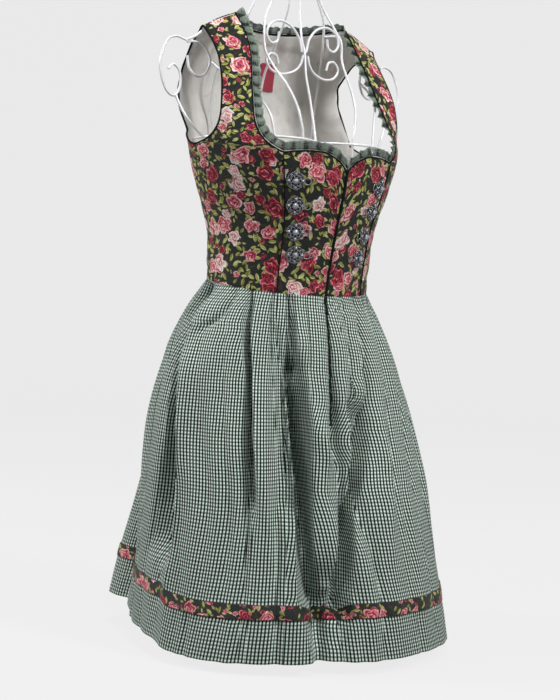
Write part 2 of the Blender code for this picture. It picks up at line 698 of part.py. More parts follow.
# ---------------------------------------------------------------- skirt
def pleat_columns():
    """Angle at the waist and at the hem for each column of the skirt."""
    waist_angles, hem_angles = [], []
    for number, (top, low, _, half, _) in enumerate(PLEATS):
        after = PLEATS[(number + 1) % len(PLEATS)]
        wrap = 360.0 if number == len(PLEATS) - 1 else 0.0
        next_top, next_low = after[0] + wrap, after[1] + wrap
        narrow = half * 0.55
        waist_angles += [top, top + narrow, (top + next_top) / 2, next_top - after[3] * 0.55]
        hem_angles += [low, low + half, (low + next_low) / 2, next_low - after[3]]
    return np.array(waist_angles), np.array(hem_angles)


def skirt_row(share, waist_angles, hem_angles):
    """One row of the skirt at a share of its length below the waist."""
    ease = min(1.0, share / 0.55)
    angles = waist_angles + (hem_angles - waist_angles) * ease
    plain = (angles + 180.0) % 360.0 - 180.0
    half_width, front, back = look_up(SKIRT, share)
    growth = look_up(PLEAT_GROWTH, share)[0]
    valley = np.zeros_like(angles)
    for top, low, depth, half, left in PLEATS:
        centre = top + (low - top) * ease
        width = half * (0.55 + 0.45 * ease)
        away = (plain - centre + 180.0) % 360.0 - 180.0
        fade = left ** max(0.0, (share - FADE_START) / (1 - FADE_START))
        valley += depth * growth * fade * np.exp(-(away / width) ** 2)
    turn = np.radians(plain)
    depth = np.where(np.cos(turn) > 0, front, back)
    ring = np.stack([half_width * np.sin(turn), -depth * np.cos(turn)], -1)
    direction = unit(np.stack([np.sin(turn), -np.cos(turn)], -1))
    hem, reach = look_up(HEM, plain)
    spread = max(0.0, (share - REACH_START) / (1 - REACH_START))
    ring = ring + direction * (reach * spread - valley)[:, None]
    top_height = waist(plain) - SEAM_GAP / 2
    return np.column_stack([ring, top_height + share * (hem - top_height)])


def skirt_shares():
    """Shares of the length at which the skirt has its rows."""
    length = WAIST_HEIGHT - 0.025
    return SKIRT_LEVELS + [1 - RIBBON_TOP / length, 1 - RIBBON_BOTTOM / length, 1.0]


def placket_grid(rows, valley):
    """The placket's outside: a level strip between the two sides of its pleat."""
    bottom = rows[:, valley]
    left, right = rows[:, valley - 1], rows[:, valley + 1]
    share = PLACKET_MOUTH / np.linalg.norm(right - left, axis=-1, keepdims=True)
    sides = narrowed_rows(bottom + share * (left - bottom), bottom + share * (right - bottom))
    grid = np.stack([sides[0], (sides[0] + sides[1]) / 2, sides[1]], axis=1)
    grid[-1, :, 2] -= 8 * SEAM_GAP
    return grid


def narrowed_rows(left, right):
    """Two edges of a strip, each moved in by the placket's inset."""
    step = unit(right - left) * PLACKET_INSET
    return left + step, right - step


def build_skirt():
    """The pleated skirt, with its ribbon near the hem and its placket in front."""
    columns = pleat_columns()
    shares = skirt_shares()
    outer = np.array([skirt_row(share, *columns) for share in shares])[::-1]
    normals = normals_of(outer, ring=True)
    wall("skirt", outer, outer - normals * SKIRT_CLOTH, GINGHAM, ring=True)
    band, lift = outer[1:3], normals[1:3]
    near = 1.8 * SEAM_GAP
    wall("skirt_ribbon", band + lift * (near + RIBBON), band + lift * near,
         ROSE_RIBBON, ring=True)
    grid = placket_grid(outer[-PLACKET_ROWS:], 4 * CENTRE_PLEAT)
    lift = normals_of(grid)
    wall("skirt_placket", grid + lift * PLACKET_LIFT, grid + lift * (PLACKET_LIFT - RIBBON),
         BLACK_PIPING)


# ---------------------------------------------------------------- brooches
def brooch_mesh():
    """A lobed rosette, 2 mm thick at its rim, with a raised middle and an eye beside it."""
    rosette = bmesh.new()
    steps = 2 * BROOCH_LOBES
    profile = [(1.00, 0.0), (0.96, 0.0018), (0.42, 0.0046)]
    rings = []
    for share, height in profile:
        ring = []
        for step in range(steps):
            turn = 2 * pi * step / steps
            lobe = 1.0 if step % 2 == 0 or share < 0.9 else 0.86
            reach = BROOCH_RADIUS * share * lobe
            ring.append(rosette.verts.new((reach * cos(turn), reach * sin(turn), height)))
        rings.append(ring)
    for lower, upper in zip(rings, rings[1:]):
        for step in range(steps):
            after = (step + 1) % steps
            rosette.faces.new((lower[step], lower[after], upper[after], upper[step]))
    rosette.faces.new(rings[0][::-1])
    rosette.faces.new(rings[-1])
    return rosette


def torus_mesh(name):
    """The eye: a small ring that lies flat beside the rosette and meets its rim."""
    bpy.ops.mesh.primitive_torus_add(major_segments=10, minor_segments=4,
                                     major_radius=EYE_RADIUS, minor_radius=EYE_WIRE)
    made = bpy.context.object
    made.name = name
    return made


def rise(place, normal):
    """How far the front panel's facets stand above a place, under a brooch."""
    panel = FRONT * (np.sign(place[0]), 1, 1)
    steps = np.linspace(0, 1, 9)
    highest = 0.0
    for row in range(panel.shape[0] - 1):
        for column in range(panel.shape[1] - 1):
            a, b = panel[row, column], panel[row, column + 1]
            c, d = panel[row + 1, column], panel[row + 1, column + 1]
            for u in steps:
                for v in steps:
                    point = (a * (1 - u) + b * u) * (1 - v) + (c * (1 - u) + d * u) * v
                    if np.linalg.norm(point - place) < BROOCH_RADIUS:
                        highest = max(highest, float(np.dot(point - place, normal)))
    return highest


def build_brooches():
    """Four brooches on each side of the closure, each with its eye towards the centre."""
    for side, mirror in (("left", 1), ("right", -1)):
        for number, (angle, height, eye_angle) in enumerate(BROOCHES, start=1):
            place = on_body(mirror * angle, height)
            probe = on_body(mirror * angle + np.array([-1.0, 1.0]), height)
            above = on_body(mirror * angle, height + 0.01)
            below = on_body(mirror * angle, height - 0.01)
            normal = Vector(unit(np.cross(probe[1] - probe[0], above - below)))
            along = Vector(on_body(mirror * eye_angle, height) - place)
            along = (along - normal * along.dot(normal)).normalized()
            upright = normal.cross(along)
            frame = Matrix((along, upright, normal)).transposed().to_4x4()
            frame.translation = Vector(place) + normal * (rise(place, normal) + SEAM_GAP)
            made = finish(f"brooch_{side}_{number}", brooch_mesh(), OLD_SILVER)
            eye = torus_mesh(f"eye_{side}_{number}")
            eye.data.transform(Matrix.Translation((BROOCH_RADIUS + EYE_RADIUS - 0.0006, 0,
                                                   EYE_WIRE + 0.0001)))
            cutters.objects.link(eye)
            for owner in list(eye.users_collection):
                if owner != cutters:
                    owner.objects.unlink(eye)
            eye.hide_render = True
            eye.display_type = "WIRE"
            join = made.modifiers.new("join_eye", "BOOLEAN")
            join.operation = "UNION"
            join.solver = "EXACT"
            join.object = eye
            made.matrix_world = frame
            eye.matrix_world = frame


# ---------------------------------------------------------------- wire form
def wire(name, points, count, ring=False):
    """One painted wire of the form."""
    path = spline(points, count)
    tube(name, path, WIRE_RADIUS, WHITE_PAINT, ring=ring)


def wire_pair(stem, points, count):
    """A wire on the wearer's left and its mirror image on the right."""
    wire(stem + "_left", points, count)
    wire(stem + "_right", mirrored(points), count)


def wire_ring(name, half, count):
    """A closed horizontal ring from the points of its left half."""
    right = [(-x, y, z) for x, y, z in half[-2:0:-1]]
    loop = spline(list(half) + right + [half[0]], count + 1)[:-1]
    tube(name, loop, WIRE_RADIUS, WHITE_PAINT, ring=True)


def build_form():
    """The wire bust, its neck, scrolls and shoulder loops, its pole and its base plate."""
    wire("form_centre_front", CENTRE_FRONT_WIRE, 14)
    wire("form_centre_back", CENTRE_BACK_WIRE, 12)
    wire_pair("form_front", FRONT_WIRE, 18)
    wire_pair("form_side", SIDE_WIRE, 9)
    wire_pair("form_back", BACK_WIRE, 13)
    wire_ring("form_chest_ring", CHEST_RING, 28)
    wire_ring("form_waist_ring", WAIST_RING, 16)
    wire_pair("form_upper_scroll", UPPER_SCROLL, 16)
    wire_pair("form_lower_scroll", LOWER_SCROLL, 16)
    wire_pair("form_shoulder", SHOULDER_WIRE, 7)
    wire_pair("form_shoulder_loop", SHOULDER_LOOP, 16)
    wire_pair("form_shoulder_curl", SHOULDER_CURL, 13)
    wire_pair("form_shoulder_brace", SHOULDER_BRACE, 4)
    cylinder("form_base", BASE_RADIUS, 0.0, BASE_THICKNESS, WHITE_PAINT, sides=40)
    boss_bottom = BASE_THICKNESS + SEAM_GAP
    cylinder("form_boss", BOSS_RADIUS, boss_bottom, boss_bottom + BOSS_HEIGHT, WHITE_PAINT,
             sides=20)
    pole_bottom = boss_bottom + BOSS_HEIGHT + SEAM_GAP
    cylinder("form_pole", POLE_RADIUS, pole_bottom, COLLAR_BOTTOM - SEAM_GAP, WHITE_PAINT,
             sides=20)
    cylinder("form_collar", COLLAR_RADIUS, COLLAR_BOTTOM, COLLAR_TOP, WHITE_PAINT, sides=20)
    cylinder("form_finial", 0.010, FINIAL_HEIGHT + 1.7 * SEAM_GAP, FINIAL_HEIGHT + 0.022,
             WHITE_PAINT, sides=12, bevel=0.004)


cutters = bpy.data.collections.new("cutters")
bpy.context.scene.collection.children.link(cutters)

build_bodice()
build_label()
build_closure()
build_piping()
build_ruffle()
build_skirt()
build_brooches()
build_form()
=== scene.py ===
"""Detailed dirndl dress on its white wire dress form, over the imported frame."""

from math import cos, pi, radians, sin

import bmesh
import bpy
import numpy as np
from mathutils import Matrix, Vector


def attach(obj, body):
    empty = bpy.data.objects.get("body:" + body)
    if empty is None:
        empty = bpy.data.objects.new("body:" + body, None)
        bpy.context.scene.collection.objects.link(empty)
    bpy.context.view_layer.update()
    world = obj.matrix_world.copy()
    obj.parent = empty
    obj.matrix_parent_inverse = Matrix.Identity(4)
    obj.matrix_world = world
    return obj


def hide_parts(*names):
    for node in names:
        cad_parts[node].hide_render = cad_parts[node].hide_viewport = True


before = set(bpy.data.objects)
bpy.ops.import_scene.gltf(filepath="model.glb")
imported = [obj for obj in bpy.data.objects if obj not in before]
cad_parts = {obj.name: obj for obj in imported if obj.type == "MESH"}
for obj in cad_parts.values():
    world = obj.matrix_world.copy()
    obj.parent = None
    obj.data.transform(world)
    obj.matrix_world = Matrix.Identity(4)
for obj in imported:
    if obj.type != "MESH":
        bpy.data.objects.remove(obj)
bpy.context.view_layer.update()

# ---------------------------------------------------------------- sizes and sections
MM = 0.001                 # tables marked with it are in millimetres
RIBBON_EDGE = 0.0011       # the ribbon's hemmed edge, beyond its solid's on each side
LABEL_SHIFT = 0.006        # the label's free edge, farther round than its solid's
CHECK = 0.0053             # repeat of the skirt's checks
WARP_SHARE = 0.62          # how much of a thread crossing's tone the upright stripe gives
RUFFLE_RUN = 0.0205        # lace gathered into one wave
FLOOR_GLOW = 0.80          # light that the pale studio floor adds of its own
STAGE_RADIUS = 7.0         # of the studio's round floor
STAGE_BEND = 2.0           # radius of the bend between its floor and wall
STAGE_HEIGHT = 9.0
STAGE_SIDES = 96
AIR_LIGHT = 0.08           # light from all round
# Lamps. Each: name, degrees to the right of the camera, distance from the dress's axis,
# height, size, and how bright it makes a white surface that faces it.
LAMPS = [
    ("key", 50, 3.3, 2.6, 0.9, 0.62),
    ("left", -52, 3.3, 2.3, 1.0, 0.17),
    ("behind", -90, 3.0, 2.2, 1.0, 0.56),
    ("top", 12, 1.4, 4.4, 1.0, 0.42),
]
LAMPS_AIM = (0, 0, 0.55)
VIEW_ANGLE = -36.0         # the camera's way round from the front, in degrees
CAMERA_ROLL = 1.75
CAMERA_FAR = 2.4           # from the dress's upright axis
CAMERA_HIGH = 0.505
METRES_A_PIXEL = 0.00155   # at that axis
IMAGE = (560, 700)         # pixels
CENTRE_PIXEL = (286.5, 312.0)    # what the camera looks straight at
SENSOR = 36.0
CLOTH = 0.0015             # thickness of a bodice panel
LINING = 0.0010            # thickness of the lining
RIBBON = 0.0010            # thickness of the ribbon, the closure strip and the placket
SEAM_GAP = 0.0003          # free distance between pieces that are sewn together
BODICE_SHELL = 0.0013      # thicknesses of the shells that stand for those walls
LINING_SHELL = 0.0008
SKIRT_SHELL = 0.00102
RIBBON_SHELL = 0.0008
LACE = 0.0004
STRETCH_RELIEF = 0.00045   # height of the bodice's faint wrinkles
WAIST_RELIEF = 0.0007      # height of those just above the waist seam
WAIST_WRINKLES = 0.575     # and where they are
LINING_CREASES = 0.0030    # height of the creases in the back's lining
LABEL_LIFT = 0.0012        # the label stands off the lining
STRIP_FOLD = 0.0006        # height of the fold down the closure strip
LAST_STEP = 0.002          # cloth run between a closed cord's last and first point
GHOST = 1                  # extra columns that give a panel true normals at its seams
WAIST_HEIGHT = 0.5465      # mean height of the waist seam
WAIST_DIP = 0.0165         # the seam is this much lower in front and higher behind
PIPING_RADIUS = 0.0012
PRINCESS_PIPING_RADIUS = 0.0010
RUFFLE_HEIGHT = 0.0125
RUFFLE_SWING = 0.0032      # how far a gather leans to either side at its edge
RUFFLE_WAVES = 56
SCALLOP = 0.0012           # height of the lace's scallops
SCALLOPS_A_WAVE = 3        # and how many lie in each gather
RUFFLE_STEPS = 4           # points along one gather
NOTCH_WIDTH = 0.016        # half width of the neckline's notch, where the ruffle is low
HEM_HEIGHT = 0.025         # its mean
RIBBON_TOP = 0.080         # above the hem
RIBBON_BOTTOM = 0.061
PLACKET_ROWS = 5           # skirt rows that the placket runs along
PLACKET_MOUTH = 0.0058     # the placket lies where the pleat is this wide
PLACKET_INSET = 0.0013     # clear of the pleat's sides
PLACKET_WAVE = 0.034       # length of one of its waves
PLACKET_LIFT = 0.0010      # how far it stands out of the pleat's mouth
STRIP_SHARE = 0.11         # of the way from the closure to the front panel's next column
LABEL_INNER_EDGE = 0.003   # from the centre back
LABEL_WIDTH = 0.028
LABEL_BOTTOM = 0.861
LABEL_TOP = 0.905
BROOCH_RADIUS = 0.0135
BROOCH_LOBES = 8
EYE_RADIUS = 0.0052        # the small ring beside each brooch
EYE_WIRE = 0.0010
WIRE_RADIUS = 0.0020
# Body sections: height, half width, depth in front, depth behind.
BODY = MM * np.array([
    (520, 135, 98, 97), (560, 135, 103, 98), (595, 135.5, 111, 99), (635, 139, 121, 100),
    (665, 149, 130, 102), (690, 158, 137, 104), (715, 166.5, 142, 106), (750, 177, 144, 109),
    (795, 183, 129, 112), (835, 186, 97, 114), (875, 182, 70, 113), (915, 172, 47, 106),
    (955, 162, 30, 90),
])
# Neckline over the centre-front panels: angle from the front in degrees, height.
NECK_FRONT = np.array([
    (0, 0.7142), (3, 0.7245), (8, 0.732), (14, 0.7385), (20, 0.7395), (30, 0.7375),
    (35.5, 0.7355),
])
PRINCESS_ANGLE = 35.5      # degrees from the front
SIDE_ANGLE = 90.0
BODY_RADIUS = 0.14         # about the body's mean radius
BACK_SEAM_ANGLE = 120.0
LOW_ROWS = 7               # rows of every panel below the armholes and the neckline
SIDE_TOP = 0.7490          # the side seam ends at the armhole
# Side-front panel round its two lower corners:
# angle and height on the neckline, angle and height on the armhole.
CORNER_ROWS = [
    (35.5, 0.7355, 90, 0.749), (40.6, 0.7434, 78, 0.756), (45.2, 0.756, 73, 0.765),
]
# The strap in front: neckline edge x, y, z, then armhole edge x, y, z.
STRAP_ROWS = MM * np.array([
    (132, -89, 776.5, 168, -51.5, 782), (127.5, -75, 805, 165.5, -53, 813),
    (119, -57, 847, 161.5, -45.5, 847), (110, -40, 887, 156.5, -27, 883),
    (105.5, -17, 924, 157, -6, 911), (107, 10.5, 956, 162, 10.5, 930),
])
# Side-back panel: share of the way from the side seam to the back seam,
# height of the armhole edge.
SIDE_BACK_TOP = np.array([
    (0, 0.749), (0.25, 0.7515), (0.5, 0.758), (0.75, 0.767), (1, 0.778),
])
BACK_CENTRE_TURN = 0.7860  # height at the centre back of the row that ends at the back seam
# Back panel above its seams: height and depth at the centre, then edge x, y, z.
BACK_ROWS = MM * np.array([
    (825, 113, 159, 76, 812), (865, 112, 154.5, 88, 845), (902, 106.5, 150, 84, 878),
    (930, 96, 154.5, 54, 909),
])
# Upper edge of the back, from the centre to the neck point, along the shoulder seam.
BACK_TOP = MM * np.array([
    (0, 80, 946), (40, 75, 947.5), (75, 54, 951), (97, 28, 954.5), (107, 11, 956),
    (134.5, 11, 945), (162, 11, 930),
])
# Skirt sections: share of the length below the waist, half width, front, back.
SKIRT = np.array([
    (0, 0.135, 0.1, 0.097), (0.03, 0.144, 0.106, 0.112), (0.075, 0.158, 0.118, 0.134),
    (0.15, 0.176, 0.138, 0.164), (0.3, 0.2, 0.17, 0.18), (0.5, 0.216, 0.212, 0.2),
    (0.7, 0.234, 0.24, 0.234), (0.85, 0.245, 0.258, 0.258), (1, 0.258, 0.268, 0.274),
])
# Hem: angle from the front in degrees (the wearer's right is negative), height,
# change of the radius there.
HEM = np.array([
    (-180, 0.05, 0), (-152, 0.048, 0.014), (-138, 0.052, 0.01), (-132, 0.048, -0.01),
    (-126, 0.034, -0.036), (-113, 0.033, -0.034), (-99, 0.03, -0.03), (-82, 0.026, -0.012),
    (-78, 0.019, -0.008), (-65, 0.016, 0), (-50, 0.016, 0), (-20, 0.019, 0), (0, 0.018, 0),
    (30, 0.018, 0), (54, 0.017, 0), (90, 0.02, 0), (120, 0.032, 0), (150, 0.045, 0.004),
    (180, 0.05, 0),
])
REACH_START = 0.45         # share of the length where that change begins
# Pleats: angle at the waist, angle at the hem, depth in metres, half width in degrees,
# share of the depth that is left at the hem.
PLEATS = [
    (-169, -170, 0.01, 3.2, 0.5), (-156, -157, 0.014, 3.4, 0.5), (-144, -146, 0.01, 2.6, 0.6),
    (-131, -132, 0.03, 2.6, 0.9), (-122, -114, 0.006, 2.6, 0.5), (-116, -99, 0.005, 2.6, 0.5),
    (-107, -85, 0.017, 4.5, 0.3), (-91, -73, 0.005, 2.6, 0.5), (-78, -64, 0.005, 2.6, 0.5),
    (-66, -56, 0.005, 2.4, 0.6), (-53, -49, 0.018, 2.4, 0.3), (-38, -38, 0.021, 2.2, 0.2),
    (-28, -27, 0.027, 2.4, 0.2), (-14, -21, 0.007, 2, 0.5), (0, -15, 0.03, 2.4, 0.2),
    (14, -8, 0.012, 2.2, 0.5), (28, 0, 0.022, 2.4, 0.25), (40, 14, 0.008, 2.8, 0.4),
    (53, 30, 0.008, 3, 0.4), (66, 47, 0.008, 3, 0.5), (78, 63, 0.009, 3.2, 0.5),
    (92, 80, 0.009, 3.2, 0.5), (105, 97, 0.012, 3.4, 0.5), (118, 114, 0.01, 3, 0.5),
    (131, 130, 0.014, 3.4, 0.5), (144, 145, 0.01, 3, 0.5), (158, 160, 0.013, 3.2, 0.5),
    (172, 174, 0.01, 2.8, 0.5),
]
WAIST_SHARE = 0.55         # of a pleat's width that it has at the waist
LEAN_END = 0.55            # share of the length where the pleats stop leaning
FADE_START = 0.5           # share of the length where the pleats begin to flatten
CENTRE_PLEAT = 14          # the row of the pleat that holds the placket
# How deep the pleats are down the skirt: share of the length, share of the depth.
PLEAT_GROWTH = np.array([
    (0, 0.16), (0.03, 0.24), (0.1, 0.5), (0.3, 0.95), (0.6, 1), (0.85, 0.85), (1, 0.7),
])
SKIRT_LEVELS = [0.0, 0.03, 0.09, 0.19, 0.37, 0.60]    # rows above the ribbon
# Brooches on each side of the closure: angle from the front, height, angle of the eye.
BROOCHES = [
    (29.4, 0.697, 22), (29.2, 0.6615, 21.6), (28, 0.6235, 19.6), (26.2, 0.59, 17.4),
]
# Wires of the form. One list per wire: x, y, z; pairs are mirrored to -X.
CENTRE_FRONT_WIRE = MM * np.array([
    (0, -6, 1084.7), (0, -10, 985), (0, -17, 930), (0, -26.5, 905), (0, -32, 868),
    (0, -46, 825), (0, -62, 762), (0, -68, 700), (0, -65, 600), (0, -50, 530), (0, -22.5, 485),
])
CENTRE_BACK_WIRE = MM * np.array([
    (0, 6, 1084.7), (0, 18, 985), (0, 48, 930), (0, 80, 880), (0, 94, 820), (0, 88.5, 762),
    (0, 78, 650), (0, 60, 540), (0, 22.5, 485),
])
FRONT_WIRE = MM * np.array([
    (6, -1, 1084.7), (42, -4, 995), (64, -12, 955), (73.5, -22, 930), (73.5, -26, 900),
    (69, -45, 872), (62, -68, 845), (56, -86, 815), (50, -92.5, 785), (47, -92.5, 762),
    (49, -88, 690), (47, -68, 590), (43, -53.6, 545), (36, -41, 520), (16.5, -15, 485),
])
SIDE_WIRE = MM * np.array([
    (141.2, 14.3, 877.5), (138, -10, 862), (128, -40, 845), (112, -64, 823), (98, -79, 795),
    (91.3, -85.6, 754),
])
BACK_WIRE = MM * np.array([
    (4.5, 4.5, 1084.7), (50, 18, 1010), (70, 21, 968), (80, 34, 930), (95, 62, 885),
    (100, 78, 830), (92, 76.5, 762), (78, 68, 660), (58, 49, 550), (16, 16, 485),
])
CHEST_RING = MM * np.array([
    (0, -66.5, 762), (22, -85, 762), (47, -98, 762), (70, -98.5, 762), (92, -90.8, 762),
    (128, -64, 762), (153, -30, 762), (163, 0, 762), (156, 36, 762), (130, 68, 762),
    (94, 81.5, 762), (45, 91.5, 762), (0, 93.5, 762),
])
WAIST_RING = MM * np.array([
    (0, -60, 545), (52, -57.5, 545), (98, -20, 545), (104, 10, 545), (88, 45, 545),
    (55, 60, 545), (0, 67.5, 545),
])
UPPER_SCROLL = MM * np.array([
    (4.2, -25, 905), (10, -24, 926), (26, -23, 943), (47, -22, 948), (64, -22, 939),
    (68.5, -22, 924), (60, -22, 913), (49, -22, 917), (46, -22, 931),
])
LOWER_SCROLL = MM * np.array([
    (4.2, -29, 899), (9, -28.5, 884), (20, -27, 873), (40, -25, 867), (59, -24, 871),
    (68.5, -23, 884), (61, -22, 896), (50, -22, 894), (46, -22, 882),
])
SHOULDER_WIRE = MM * np.array([
    (77.3, 25.5, 944.5), (88, 16.5, 945.5), (106, 13, 947.2), (134.5, 13, 937.2),
    (160, 13, 922.7), (174, 14.5, 912), (184, 17.5, 907),
])
SHOULDER_LOOP = MM * np.array([
    (185.9, 18.1, 905.6), (202, 23, 910), (218, 23, 900), (229, 21, 865), (220, 20, 832),
    (205, 20, 821), (194, 20, 835), (195, 21, 858), (205, 22, 868), (214, 22, 860),
])
SHOULDER_CURL = MM * np.array([
    (183.2, 20.3, 903.5), (170, 23, 906), (153, 20, 900), (144, 17, 880), (151, 17, 860),
    (166, 18, 854), (179, 19, 864), (183, 20, 883),
])
SHOULDER_BRACE = MM * np.array([
    (201.4, 19.4, 821.2), (190, 12, 795), (174, 4, 773), (165.2, -0.2, 763.3),
])


def through(rows, places):
    """Points of a Catmull-Rom curve through the rows, at places counted in rows."""
    ends = np.concatenate([2 * rows[:1] - rows[1:2], rows, 2 * rows[-1:] - rows[-2:-1]])
    samples = []
    for place in places:
        start = min(int(place), len(rows) - 2)
        t = place - start
        a, b, c, d = ends[start:start + 4]
        bend = (2 * a - 5 * b + 4 * c - d) * t * t + (3 * b - a - 3 * c + d) * t ** 3
        samples.append(0.5 * (2 * b + (c - a) * t + bend))
    return np.array(samples)


def spline(rows, count):
    """So many points of that curve, spaced evenly by row number."""
    rows = np.array(rows, float)
    return through(rows, np.linspace(0, len(rows) - 1, count))


def look_up(table, value):
    """The table's other columns at a value of its first column."""
    return [np.interp(value, table[:, 0], table[:, k]) for k in range(1, table.shape[1])]


def unit(vectors):
    """Vectors of length 1."""
    return vectors / np.maximum(np.linalg.norm(vectors, axis=-1, keepdims=True), 1e-12)


def mirrored(points):
    """The same points on the wearer's other side."""
    return np.array(points, float) * (-1, 1, 1)


def half_turn(degrees):
    """The same angles between -180 and 180 degrees."""
    return (degrees + 180.0) % 360.0 - 180.0


def normals_of(grid, ring=False):
    """Unit normals of a grid of points, from its neighbours."""
    if ring:
        sideways = np.roll(grid, -1, axis=1) - np.roll(grid, 1, axis=1)
    else:
        sideways = np.gradient(grid, axis=1)
    along = np.gradient(grid, axis=0)
    return unit(np.cross(sideways, along))


BODY_FINE = spline(BODY, 121)
BODY_FINE = BODY_FINE[np.argsort(BODY_FINE[:, 0])]


def on_body(angle, height):
    """Points of the body's outside at angles from the front (degrees) and heights."""
    angle = np.radians(np.asarray(angle, float))
    height = np.asarray(height, float) + 0 * angle
    half_width, front, back = look_up(BODY_FINE, height)
    depth = np.where(np.cos(angle) > 0, front, back)
    return np.stack([half_width * np.sin(angle), -depth * np.cos(angle), height], -1)


def body_angle(point):
    """Angle from the front, in degrees, at which a point lies."""
    half_width, front, back = look_up(BODY_FINE, point[2])
    depth = front if point[1] < 0 else back
    return np.degrees(np.arctan2(point[0] / half_width, -point[1] / depth))


def waist(angle):
    """Height of the waist seam at an angle from the front."""
    return WAIST_HEIGHT - WAIST_DIP * np.cos(np.radians(angle))


def across(first, last, shares):
    """A row between two edge points, curved as the body is between them."""
    shares = np.asarray(shares, float)
    angles = body_angle(first) + shares * (body_angle(last) - body_angle(first))
    row = on_body(angles, first[2] + shares * (last[2] - first[2]))
    start = on_body(body_angle(first), first[2])
    end = on_body(body_angle(last), last[2])
    return row + np.outer(1 - shares, first - start) + np.outer(shares, last - end)


def ghosted(count):
    """Shares across a panel of so many columns, with a ghost column past each seam."""
    step = 1.0 / (count - 1)
    return np.arange(-GHOST, count + GHOST) * step


def narrowed(first, last, gap):
    """Two edge points moved towards each other by half a gap each."""
    step = unit(last - first) * gap / 2
    return first + step, last - step


def low_block(angles, top):
    """Rows on the body from the waist seam up to a height for each angle."""
    bottom = waist(angles) + SEAM_GAP / 2
    up = np.linspace(0, 1, LOW_ROWS)[:, None]
    return on_body(angles[None, :] + 0 * up, bottom + up * (top - bottom))


def seam_angles(first, last, columns):
    """Ghosted angles across a panel, half a gap clear of its seams."""
    half_gap = np.degrees(SEAM_GAP / 2 / BODY_RADIUS)
    start, stop = first + half_gap, last - half_gap
    return start + ghosted(columns) * (stop - start)


def front_grid(columns):
    """Centre-front panel of the wearer's left, from the closure to the princess seam."""
    angles = seam_angles(0.0, PRINCESS_ANGLE, columns)
    return low_block(angles, look_up(NECK_FRONT, np.abs(angles))[0])


def side_front_grid(columns, upper_rows):
    """Side-front panel of the wearer's left with its strap, up to the shoulder seam."""
    angles = seam_angles(PRINCESS_ANGLE, SIDE_ANGLE, columns)
    neck_end = look_up(NECK_FRONT, PRINCESS_ANGLE)[0]
    low = low_block(angles, neck_end + ghosted(columns) * (SIDE_TOP - neck_end))
    edges = [np.concatenate([on_body(angle_1, height_1), on_body(angle_2, height_2)])
             for angle_1, height_1, angle_2, height_2 in CORNER_ROWS]
    edges += [np.array(row) for row in STRAP_ROWS]
    upper = [across(*narrowed(edge[:3], edge[3:], SEAM_GAP), ghosted(columns))
             for edge in spline(edges, upper_rows)[1:]]
    return np.concatenate([low, upper])


def side_back_grid(columns):
    """Side-back panel of the wearer's left, from the side seam to the back seam."""
    angles = seam_angles(SIDE_ANGLE, BACK_SEAM_ANGLE, columns)
    shares = np.clip(ghosted(columns), 0, 1)
    return low_block(angles, look_up(SIDE_BACK_TOP, shares)[0])


def back_half_rows(shares):
    """Rows of the back's half, at shares from the centre to its edge, bottom to top."""
    half_gap = np.degrees(SEAM_GAP / 2 / BODY_RADIUS)
    angles = 180.0 - shares * (180.0 - BACK_SEAM_ANGLE - half_gap)
    turn = BACK_CENTRE_TURN + shares * (SIDE_BACK_TOP[-1, 1] - BACK_CENTRE_TURN)
    rows = list(low_block(angles, turn))
    for height, depth, x, y, z in BACK_ROWS:
        rows.append(across(np.array((0.0, depth, height)), np.array((x, y, z)), shares))
    top = np.array(BACK_TOP)
    places = np.linspace(0, 1, len(top))
    upper = np.stack([np.interp(shares, places, top[:, k]) for k in range(3)], -1)
    beyond = shares > 1
    upper[beyond] = top[-1] + np.outer(shares[beyond] - 1, top[-1] - top[-2]) * (len(top) - 1)
    rows.append(0.55 * rows[-1] + 0.45 * upper)
    rows.append(upper)
    return np.array(rows)


def back_grid(half_columns):
    """The whole back panel, its columns going from the wearer's left to the right."""
    step = 1.0 / (half_columns - 1)
    shares = np.arange(0, half_columns + GHOST) * step
    half = back_half_rows(shares)
    return np.concatenate([half[:, :0:-1], half * (-1, 1, 1)], axis=1)


FRONT = front_grid(6)
SIDE_FRONT = side_front_grid(6, 13)
SIDE_BACK = side_back_grid(5)
BACK = back_grid(7)
NECK_COLUMNS = 4           # of the back's half that lie on the neckline
LINING_DEPTH = CLOTH + SEAM_GAP


def joined(*stretches):
    """Points and normals along stretches of several panels. Each: panel, index."""
    return (np.concatenate([grid[index] for grid, index in stretches]),
            np.concatenate([normals_of(grid)[index] for grid, index in stretches]))


def neck_path():
    """Neckline of the wearer's left from the closure to the centre back, with normals."""
    middle = BACK.shape[1] // 2
    return joined((FRONT, (-1, slice(GHOST, -GHOST))),
                  (SIDE_FRONT, (slice(LOW_ROWS, -1), GHOST)),
                  (BACK, (-1, slice(middle - NECK_COLUMNS, middle + 1))))


def armhole_path():
    """Armhole of the wearer's left, from the shoulder down the front and up the back."""
    last = -1 - GHOST
    return joined((SIDE_FRONT, (slice(None, LOW_ROWS - 2, -1), last)),
                  (SIDE_BACK, (-1, slice(GHOST + 1, last))),
                  (BACK, (slice(LOW_ROWS - 1, -1), GHOST)))


def resampled(points, extra, count, ring):
    """Points and a second list, spaced evenly along the path."""
    if ring:
        points = np.vstack([points, points[:1]])
        extra = np.vstack([extra, extra[:1]])
    length = np.concatenate([[0], np.cumsum(np.linalg.norm(np.diff(points, axis=0), axis=1))])
    places = np.linspace(0, length[-1], count, endpoint=not ring)
    both = np.hstack([points, extra])
    even = np.stack([np.interp(places, length, both[:, k]) for k in range(6)], -1)
    return even[:, :3], unit(even[:, 3:])


def smoothed(vectors, passes):
    """Directions around a closed path with their corners eased."""
    for _ in range(passes):
        vectors = unit(np.roll(vectors, 1, axis=0) + 2 * vectors + np.roll(vectors, -1, axis=0))
    return vectors


def along_ring(points):
    """Unit tangents of a closed path."""
    return unit(np.roll(points, -1, axis=0) - np.roll(points, 1, axis=0))


